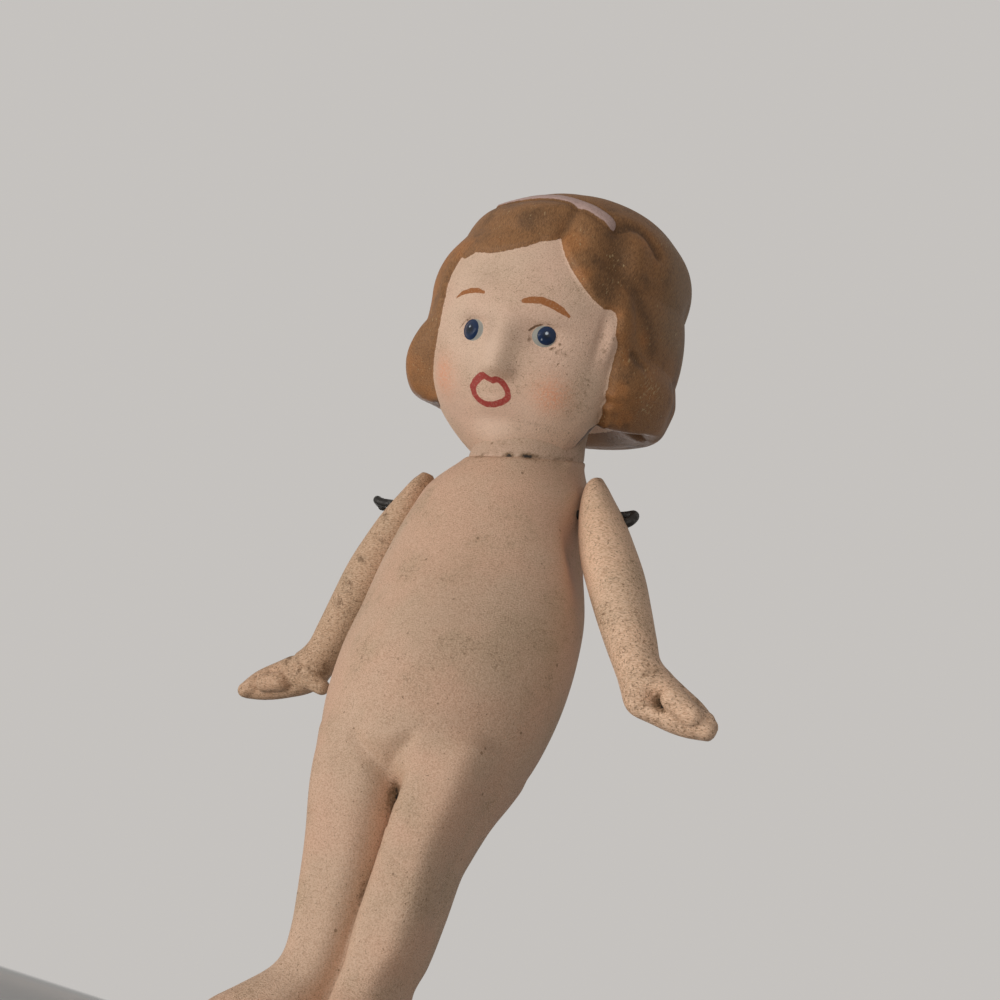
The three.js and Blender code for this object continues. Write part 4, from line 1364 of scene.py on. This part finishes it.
@dataclass
class PaintedArm:
    """A bent arm with a mitten hand, hung on the wire."""

    name: str
    side: int
    swing: float
    marks: tuple[HandMark, ...]
    fingers: tuple[Finger, ...]
    paint: SkinPaint
    shift: Array
    inside: float = 14.6
    spread: float = 28.6
    top_reach: float = 7.2
    tuck: float = 0.0
    hand_stretch: float = 0.0
    top_drop: float = 0.0
    length: float = 42.5
    half_width: float = 4.4
    wire_z: float = 86.1
    end_share: float = 0.02
    top_facet: Triple = (-0.8, -0.25, 0.55)
    facet_place: Pair = (0.35, 6.0)
    finger_columns: int = 32
    finger_rows: int = 28
    finger_dirt: float = 0.3
    skin_grain: float = 0.22
    smoothing: int = 2
    columns: int = 130
    rows: int = 260
    out: Profile = Profile([
        (0, 0.031), (0.05, 0.042), (0.12, 0.08), (0.21, 0.147), (0.31, 0.224), (0.43, 0.325),
        (0.54, 0.416), (0.65, 0.503), (0.74, 0.573), (0.82, 0.661), (0.89, 0.776), (0.95, 0.892), (1, 1),
    ])
    width: Profile = Profile([
        (0, 0.2), (0.05, 0.42), (0.12, 0.65), (0.21, 0.86), (0.31, 0.98), (0.43, 1), (0.54, 0.93),
        (0.65, 0.83), (0.74, 0.75), (0.82, 0.85), (0.89, 0.76), (0.95, 0.6), (1, 0.3),
    ])
    depth: Profile = Profile([
        (0, 0.3), (0.05, 0.68), (0.12, 0.9), (0.21, 1.02), (0.31, 1.06), (0.43, 1.04), (0.54, 0.96),
        (0.65, 0.84), (0.74, 0.74), (0.82, 0.76), (0.89, 0.64), (0.95, 0.52), (1, 0.32),
    ])

    def down(self) -> Profile:
        """How far below the wire the arm's middle line runs."""
        above = [(0, -1), (0.05, -0.72), (0.12, -0.25)]
        below = [
            (0.21, 0.074), (0.31, 0.21), (0.43, 0.366), (0.54, 0.517), (0.65, 0.659), (0.74, 0.767),
            (0.82, 0.858), (0.89, 0.915), (0.95, 0.96), (1, 1),
        ]
        drop = self.length - self.top_reach
        return Profile([(a, b * self.top_reach) for a, b in above] + [(a, b * drop) for a, b in below])

    def marked(self, along: Array, angle: Array) -> Array:
        """Rise of the hand's marks."""
        return sum(mark.rise * mark.strength(along, angle) for mark in self.marks)

    def points(self, along: Array, angle: Array) -> Array:
        """Places of the arm before it swings, for the doll's left."""
        down = self.down()
        end = self.end_share
        middle = np.clip((along - end) / (1.0 - 2.0 * end), 0.0, 1.0)
        rim = np.sqrt(np.clip(along / end, 0, 1)) * np.sqrt(np.clip((1 - along) / end, 0, 1))
        run = (self.out(middle + end) - self.out(middle - end)) * self.spread
        fall = down(middle + end) - down(middle - end)
        size = np.hypot(run, fall)
        rise = self.marked(middle, angle) * rim
        offset = np.sin(angle) * (rim * self.half_width * self.width(middle) + rise)
        front = np.cos(angle) * (rim * self.half_width * self.depth(middle) + rise)
        x = self.inside + self.out(middle) * self.spread + offset * fall / size
        x = x - self.tuck * step(middle, 0.15, 0.7) + self.hand_stretch * step(middle, 0.8, 1.0)
        z = offset * run / size - down(middle) - self.top_drop * (1.0 - step(middle, 0.0, 0.5))
        return np.stack([x, -front, z], axis=1)

    def lifted(self, along: float, degrees: float, lift: float) -> Array:
        """Place on the arm's surface, moved out by a lift."""
        angle = np.radians([degrees])
        share = np.array([mix(self.end_share, 1.0 - self.end_share, along)])
        surface = self.points(share, angle)[0]
        inner = 0.5 * (surface + self.points(share, angle + math.pi)[0])
        return surface + lift * (surface - inner) / np.linalg.norm(surface - inner)

    def build(self) -> bpy.types.Object:
        """Models and paints the arm.

        Returns:
            The finished piece.
        """
        arm = Clay(self.name, self.columns, self.rows)
        along = 1.0 - arm.along
        points = self.points(along, arm.angle)
        facet = np.array(self.top_facet) / np.linalg.norm(self.top_facet)
        inward, rise = self.facet_place
        past = points @ facet - np.array([self.inside + inward, 0, rise]) @ facet
        points -= np.maximum(past, 0.0)[:, None] * facet
        # Soiling down the forearm and darker at the top of the arm, with soiling and painted shade in the
        # hand's dents
        dirt_and_shade = 0.1 + 0.26 * step(along, 0.4, 0.8) + 0.3 * hump(along - 0.07, 0.05)
        for mark in self.marks:
            if mark.rise < 0:
                dirt_and_shade = np.maximum(dirt_and_shade, mark.dirt_and_shade(along, arm.angle))
        for finger in self.fingers:
            digit = Clay("finger", self.finger_columns, self.finger_rows)
            ends = [self.lifted(*station) for station in (finger.start, finger.end)]
            points = np.vstack([points, finger.points(digit.along, digit.angle, *ends)])
            dirt_and_shade = np.concatenate([dirt_and_shade, np.full(len(digit.along), self.finger_dirt)])
            arm.join(digit)
        points[:, 0] *= self.side
        turned = points @ turn_about_x(self.swing).T + np.array([0, 0, self.wire_z])
        arm.press(turned + self.shift)
        nearest = arm.knead(self.skin_grain, self.smoothing)
        arm.mask("dirt_and_shade", dirt_and_shade[nearest])
        return arm.piece(f"painted_{self.name}", self.paint.material(f"{self.name}_skin_paint"))


@dataclass(frozen=True)
class WireEnd:
    """A turned-back end: side, reach, bend from the straight, turn about it, and radius of the loop."""

    side: int
    reach: float
    bend: float
    turn: float
    loop_radius: float


@dataclass
class ArmWire:
    """One iron wire through both shoulders, each end turned back into a tight loop."""

    iron: OldIron
    shift: Array
    radius: float = 0.78
    right: WireEnd = WireEnd(-1, 23.2, 40.0, 180.0, 0.74)
    left: WireEnd = WireEnd(1, 22.0, 30.0, -70.0, 0.92)
    wire_z: float = 86.1
    loop_turn: float = 265.0
    loop_step: float = 12.0
    straight_inset: float = 2.0
    straight_points: int = 24
    sides: int = 20
    rings: int = 400

    def loop(self, end: WireEnd) -> list[Array]:
        """Points of one turned end, from the straight outwards."""
        bend, turn = math.radians(end.bend), math.radians(end.turn)
        out = np.array([end.side * math.cos(bend), 0, math.sin(bend)])
        aside = np.array([0, -math.cos(turn), math.sin(turn)])
        start = np.array([end.side * end.reach, 0, self.wire_z])
        middle = start + out * self.radius + aside * end.loop_radius
        points = [start]
        for angle in np.radians(np.arange(self.loop_step, self.loop_turn, self.loop_step)):
            points.append(middle + end.loop_radius * (math.sin(angle) * out - math.cos(angle) * aside))
        return points

    def route(self) -> Array:
        """Points along the whole wire, close together."""
        inset = self.straight_inset
        span = np.linspace(inset - self.right.reach, self.left.reach - inset, self.straight_points)
        straight = [np.array([x, 0, self.wire_z]) for x in span]
        coarse = np.array(self.loop(self.right)[::-1] + straight + self.loop(self.left))
        for _ in range(2):
            middle = 0.5 * (coarse[1:] + coarse[:-1])
            coarse = np.vstack([coarse[:1], mix(middle[:-1], middle[1:], 0.5), coarse[-1:]])
        gaps = np.linalg.norm(np.diff(coarse, axis=0), axis=1)
        walked = np.concatenate([[0.0], np.cumsum(gaps)])
        marks = np.linspace(0, walked[-1], self.rings)
        return np.stack([np.interp(marks, walked, coarse[:, axis]) for axis in range(3)], axis=1)

    def build(self) -> bpy.types.Object:
        """Models the wire as one tube with closed ends.

        Returns:
            The finished piece.
        """
        rows = self.rings + 2
        wire = Clay("iron_wire", self.sides, rows)
        route = self.route()
        tangents = np.gradient(route, axis=0)
        tangents /= np.linalg.norm(tangents, axis=1, keepdims=True)
        normals = [np.cross(tangents[0], [0, 0.3, 1.0])]
        for tangent in tangents[1:]:
            carried = normals[-1] - (normals[-1] @ tangent) * tangent
            normals.append(carried / np.linalg.norm(carried))
        normals = np.array(normals) / np.linalg.norm(normals, axis=1, keepdims=True)
        sides = np.cross(tangents, normals)
        place = np.clip((wire.along * rows - 1) / self.rings, 0.0, 1.0) * (self.rings - 1)
        index = np.round(place).astype(int)
        at_end = np.minimum(wire.along, 1.0 - wire.along) < 0.5 / rows
        rim = np.where(at_end, 0.0, self.radius)
        circle = np.sin(wire.angle)[:, None] * normals[index] + np.cos(wire.angle)[:, None] * sides[index]
        wire.press(route[index] + rim[:, None] * circle + self.shift)
        return wire.piece("iron_wire", self.iron.material("old_iron"))


@dataclass
class Studio:
    """Camera at the photograph's angle, soft lamps, a pale floor and a pale surround."""

    lens: float = 39.6
    yaw: float = 29.3
    pitch: float = -28.3
    roll: float = 17.9
    sensor: float = 36.0
    nearest: float = 0.005
    place: Triple = (78.6, -138.65, 1.0)
    aim: Triple = (0.0, 0.0, 0.07)
    floor_colour: Colour = (0.72, 0.71, 0.69)
    floor_cloud: Colour = (0.62, 0.61, 0.59)
    surround: Colour = (0.56, 0.54, 0.52)
    ambient: float = 0.285
    floor_radius: float = 0.8
    floor_sides: int = 96
    floor_drop: float = 0.0002
    floor_fade: Pair = (90.0, 330.0)

    def camera(self) -> None:
        """Sets the camera."""
        yaw, pitch, roll = (math.radians(angle) for angle in (self.yaw, self.pitch, self.roll))
        back = Vector((math.sin(yaw) * math.cos(pitch), -math.cos(yaw) * math.cos(pitch), math.sin(pitch)))
        level = Vector((math.cos(yaw), math.sin(yaw), 0))
        upright = back.cross(level)
        right = math.cos(roll) * level + math.sin(roll) * upright
        up = math.cos(roll) * upright - math.sin(roll) * level
        data = bpy.data.cameras.new("photo_camera")
        data.lens = self.lens
        data.sensor_width = self.sensor
        data.clip_start = self.nearest
        camera = add("photo_camera", data)
        matrix = Matrix((right, up, back)).transposed().to_4x4()
        matrix.translation = Vector(self.place) * METRES
        camera.matrix_world = matrix
        bpy.context.scene.camera = camera

    def lamp(self, name: str, place: Triple, size: Pair, power: float) -> None:
        """Sets one soft lamp, aimed at the doll.

        Args:
            name: Name of the lamp.
            place: Place of the lamp in metres.
            size: Width and height of the lamp in metres.
            power: Power in watts.
        """
        data = bpy.data.lights.new(name, "AREA")
        data.shape = "RECTANGLE"
        data.size, data.size_y = size
        data.energy = power
        lamp = add(name, data)
        lamp.location = place
        direction = (Vector(place) - Vector(self.aim)).normalized()
        lamp.rotation_mode = "QUATERNION"
        lamp.rotation_quaternion = direction.to_track_quat("Z", "Y")

    def floor(self) -> None:
        """Lays the pale floor."""
        mesh = bpy.data.meshes.new("floor")
        with opened(mesh) as shape:
            bmesh.ops.create_circle(shape, cap_ends=True, segments=self.floor_sides, radius=self.floor_radius)
            bmesh.ops.translate(shape, verts=shape.verts, vec=(0.0, 0.0, -self.floor_drop))
        board = Finish("pale_floor")
        place = board.place()
        cloud = board.noise(place, 0.02, 3.0)
        colour = board.coat(board.grade(cloud, 0.35, 0.65, 0.15), self.floor_colour, self.floor_cloud)
        mesh.materials.append(board.connect(colour, 0.8, cloud, 0.02))
        self.fade(board)
        floor = add("floor", mesh)
        floor.visible_shadow = False

    def seen(self, board: Board) -> Socket:
        """Socket that is 1 for what the camera, a reflection or glass shows."""
        path = board.node("LightPath", {})
        glossy = board.math("MAXIMUM", path.outputs["Is Camera Ray"], path.outputs["Is Glossy Ray"])
        return board.math("MAXIMUM", glossy, path.outputs["Is Transmission Ray"])

    def fade(self, board: Finish) -> None:
        """Lets the floor run out into the surround, away from the doll."""
        length = board.node("VectorMath", {0: board.place()}, operation="LENGTH")
        far = board.grade(length.outputs["Value"], *self.floor_fade)
        surround = board.node("Emission", {"Color": self.surround})
        share = board.times(far, self.seen(board))
        shaders = {1: board.shader.outputs["BSDF"], 2: surround.outputs["Emission"]}
        blend = board.node("MixShader", {"Fac": share, **shaders})
        board.put(blend.outputs["Shader"], board.output.inputs["Surface"])

    def world(self) -> None:
        """Sets the surround that the camera sees, and the soft light from all round."""
        world = bpy.data.worlds.new("surround")
        world.use_nodes = True
        board = Board(world.node_tree)
        shown = board.node("Background", {"Color": self.surround})
        light = board.node("Background", {"Strength": self.ambient})
        shaders = {1: light.outputs["Background"], 2: shown.outputs["Background"]}
        blend = board.node("MixShader", {"Fac": self.seen(board), **shaders})
        board.node("OutputWorld", {"Surface": blend.outputs["Shader"]})
        bpy.context.scene.world = world

    def build(self) -> None:
        """Sets the whole stage."""
        bpy.context.scene.view_settings.view_transform = "Standard"
        self.camera()
        self.floor()
        self.world()
        self.lamp("key", (-0.37, -0.47, -0.06), (0.46, 0.14), 2.3)
        self.lamp("fill", (0.25, -0.54, -0.1), (0.3, 0.14), 0.8)
        self.lamp("back", (-0.3, 0.52, 0.3), (0.3, 0.3), 0.6)


LEFT_HAND = (
    HandMark(0.87, -23, 0.027, 21, -2.7),
    HandMark(0.93, 44, 0.022, 11, -1.5),
    HandMark(0.965, 18, 0.016, 9, -1.3),
    HandMark(0.985, -20, 0.012, 12, -0.35),
    HandMark(0.8, 20, 0.012, 26, -0.25),
    HandMark(0.835, -76, 0.03, 24, 0.7),
)
LEFT_FINGERS = (
    Finger((0.908, 4, 0.1), (0.962, -8, 0.1), (1.8, 1.5)),
    Finger((0.935, 52, -1.2), (0.98, 38, -0.8), (1.4, 1.2)),
    Finger((0.97, -32, -0.9), (0.99, -34, -0.8), (1.4, 1.3)),
)
RIGHT_HAND = (
    HandMark(0.807, -9, 0.012, 8, -0.5),
    HandMark(0.78, -24, 0.006, 5, -0.25),
    HandMark(0.868, -38, 0.014, 9, -0.7),
    HandMark(0.84, 36, 0.02, 14, -0.12),
    HandMark(0.945, 0, 0.01, 16, -0.9),
    HandMark(0.833, 60, 0.012, 30, -0.35),
    HandMark(0.9, 24, 0.03, 7, -0.5),
    HandMark(0.75, -60, 0.03, 22, -0.1),
    HandMark(0.547, 8, 0.018, 18, -0.15),
    HandMark(0.482, 6, 0.012, 12, -0.1),
    HandMark(0.39, 6, 0.012, 16, -0.1),
    HandMark(0.297, -12, 0.012, 18, -0.1),
    HandMark(0.223, 18, 0.012, 14, -0.1),
)
RIGHT_FINGERS = (
    Finger((0.815, -50, -1.0), (0.8, -74, 1.3), (1.7, 1.35)),
    Finger((0.88, -16, -0.35), (0.922, -6, -0.35), (1.7, 1.6)),
    Finger((0.955, 4, -0.6), (0.985, -12, -0.6), (1.5, 1.35)),
)


def dress(piece: bpy.types.Object, body: str, slot: str, *nodes: str) -> None:
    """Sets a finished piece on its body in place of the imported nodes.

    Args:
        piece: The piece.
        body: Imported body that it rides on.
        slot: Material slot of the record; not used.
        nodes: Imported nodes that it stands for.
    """
    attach(piece, body)
    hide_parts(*nodes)
    LOG.info("%s rides on %s with %d vertices", piece.name, body, len(piece.data.vertices))


def main() -> None:
    """Builds the doll's pieces in order and sets the stage."""
    logging.basicConfig(level=logging.INFO, format="%(name)s: %(message)s")
    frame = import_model()
    hinge = frame["joints"][0]["pos_m"]
    shift = np.array([0.0, hinge[1] / METRES, 0.0])
    skin = SkinPaint()
    light = SkinPaint(
        flesh=(0.72, 0.505, 0.365), rosy=(0.74, 0.495, 0.36), soiling=0.5, grain=0.4, clouding=0.3
    )
    face = FacePaint(light)
    worn = SkinPaint(
        flesh=(0.6, 0.395, 0.25), rosy=(0.62, 0.39, 0.245), worn=(0.44, 0.33, 0.25), run=BrushRun.ACROSS,
        soiling=1.0, grain=0.6,
    )
    scuffed = replace(worn, flesh=(0.79, 0.535, 0.36), rosy=(0.81, 0.535, 0.355))
    head = PaintedHead(face, shift).build()
    dress(head, "doll", "face_paint", "head_front_half", "head_back_half")
    body = PaintedBody(skin, shift).build()
    dress(body, "doll", "skin_paint", "body_front_half", "body_back_half")
    right = PaintedArm(
        "right_arm", side=-1, swing=18.0, marks=RIGHT_HAND, fingers=RIGHT_FINGERS, paint=worn, shift=shift,
        inside=13.9, tuck=1.2, hand_stretch=2.8, top_drop=1.5,
    ).build()
    dress(right, "right_arm", "skin_paint", "right_arm")
    left = PaintedArm(
        "left_arm", side=1, swing=-8.0, marks=LEFT_HAND, fingers=LEFT_FINGERS, paint=scuffed, shift=shift
    ).build()
    dress(left, "left_arm", "skin_paint", "left_arm")
    wire = ArmWire(OldIron(), shift).build()
    dress(wire, "doll", "iron", "arm_wire")
    Studio().build()


if __name__ == "__main__":
    main()
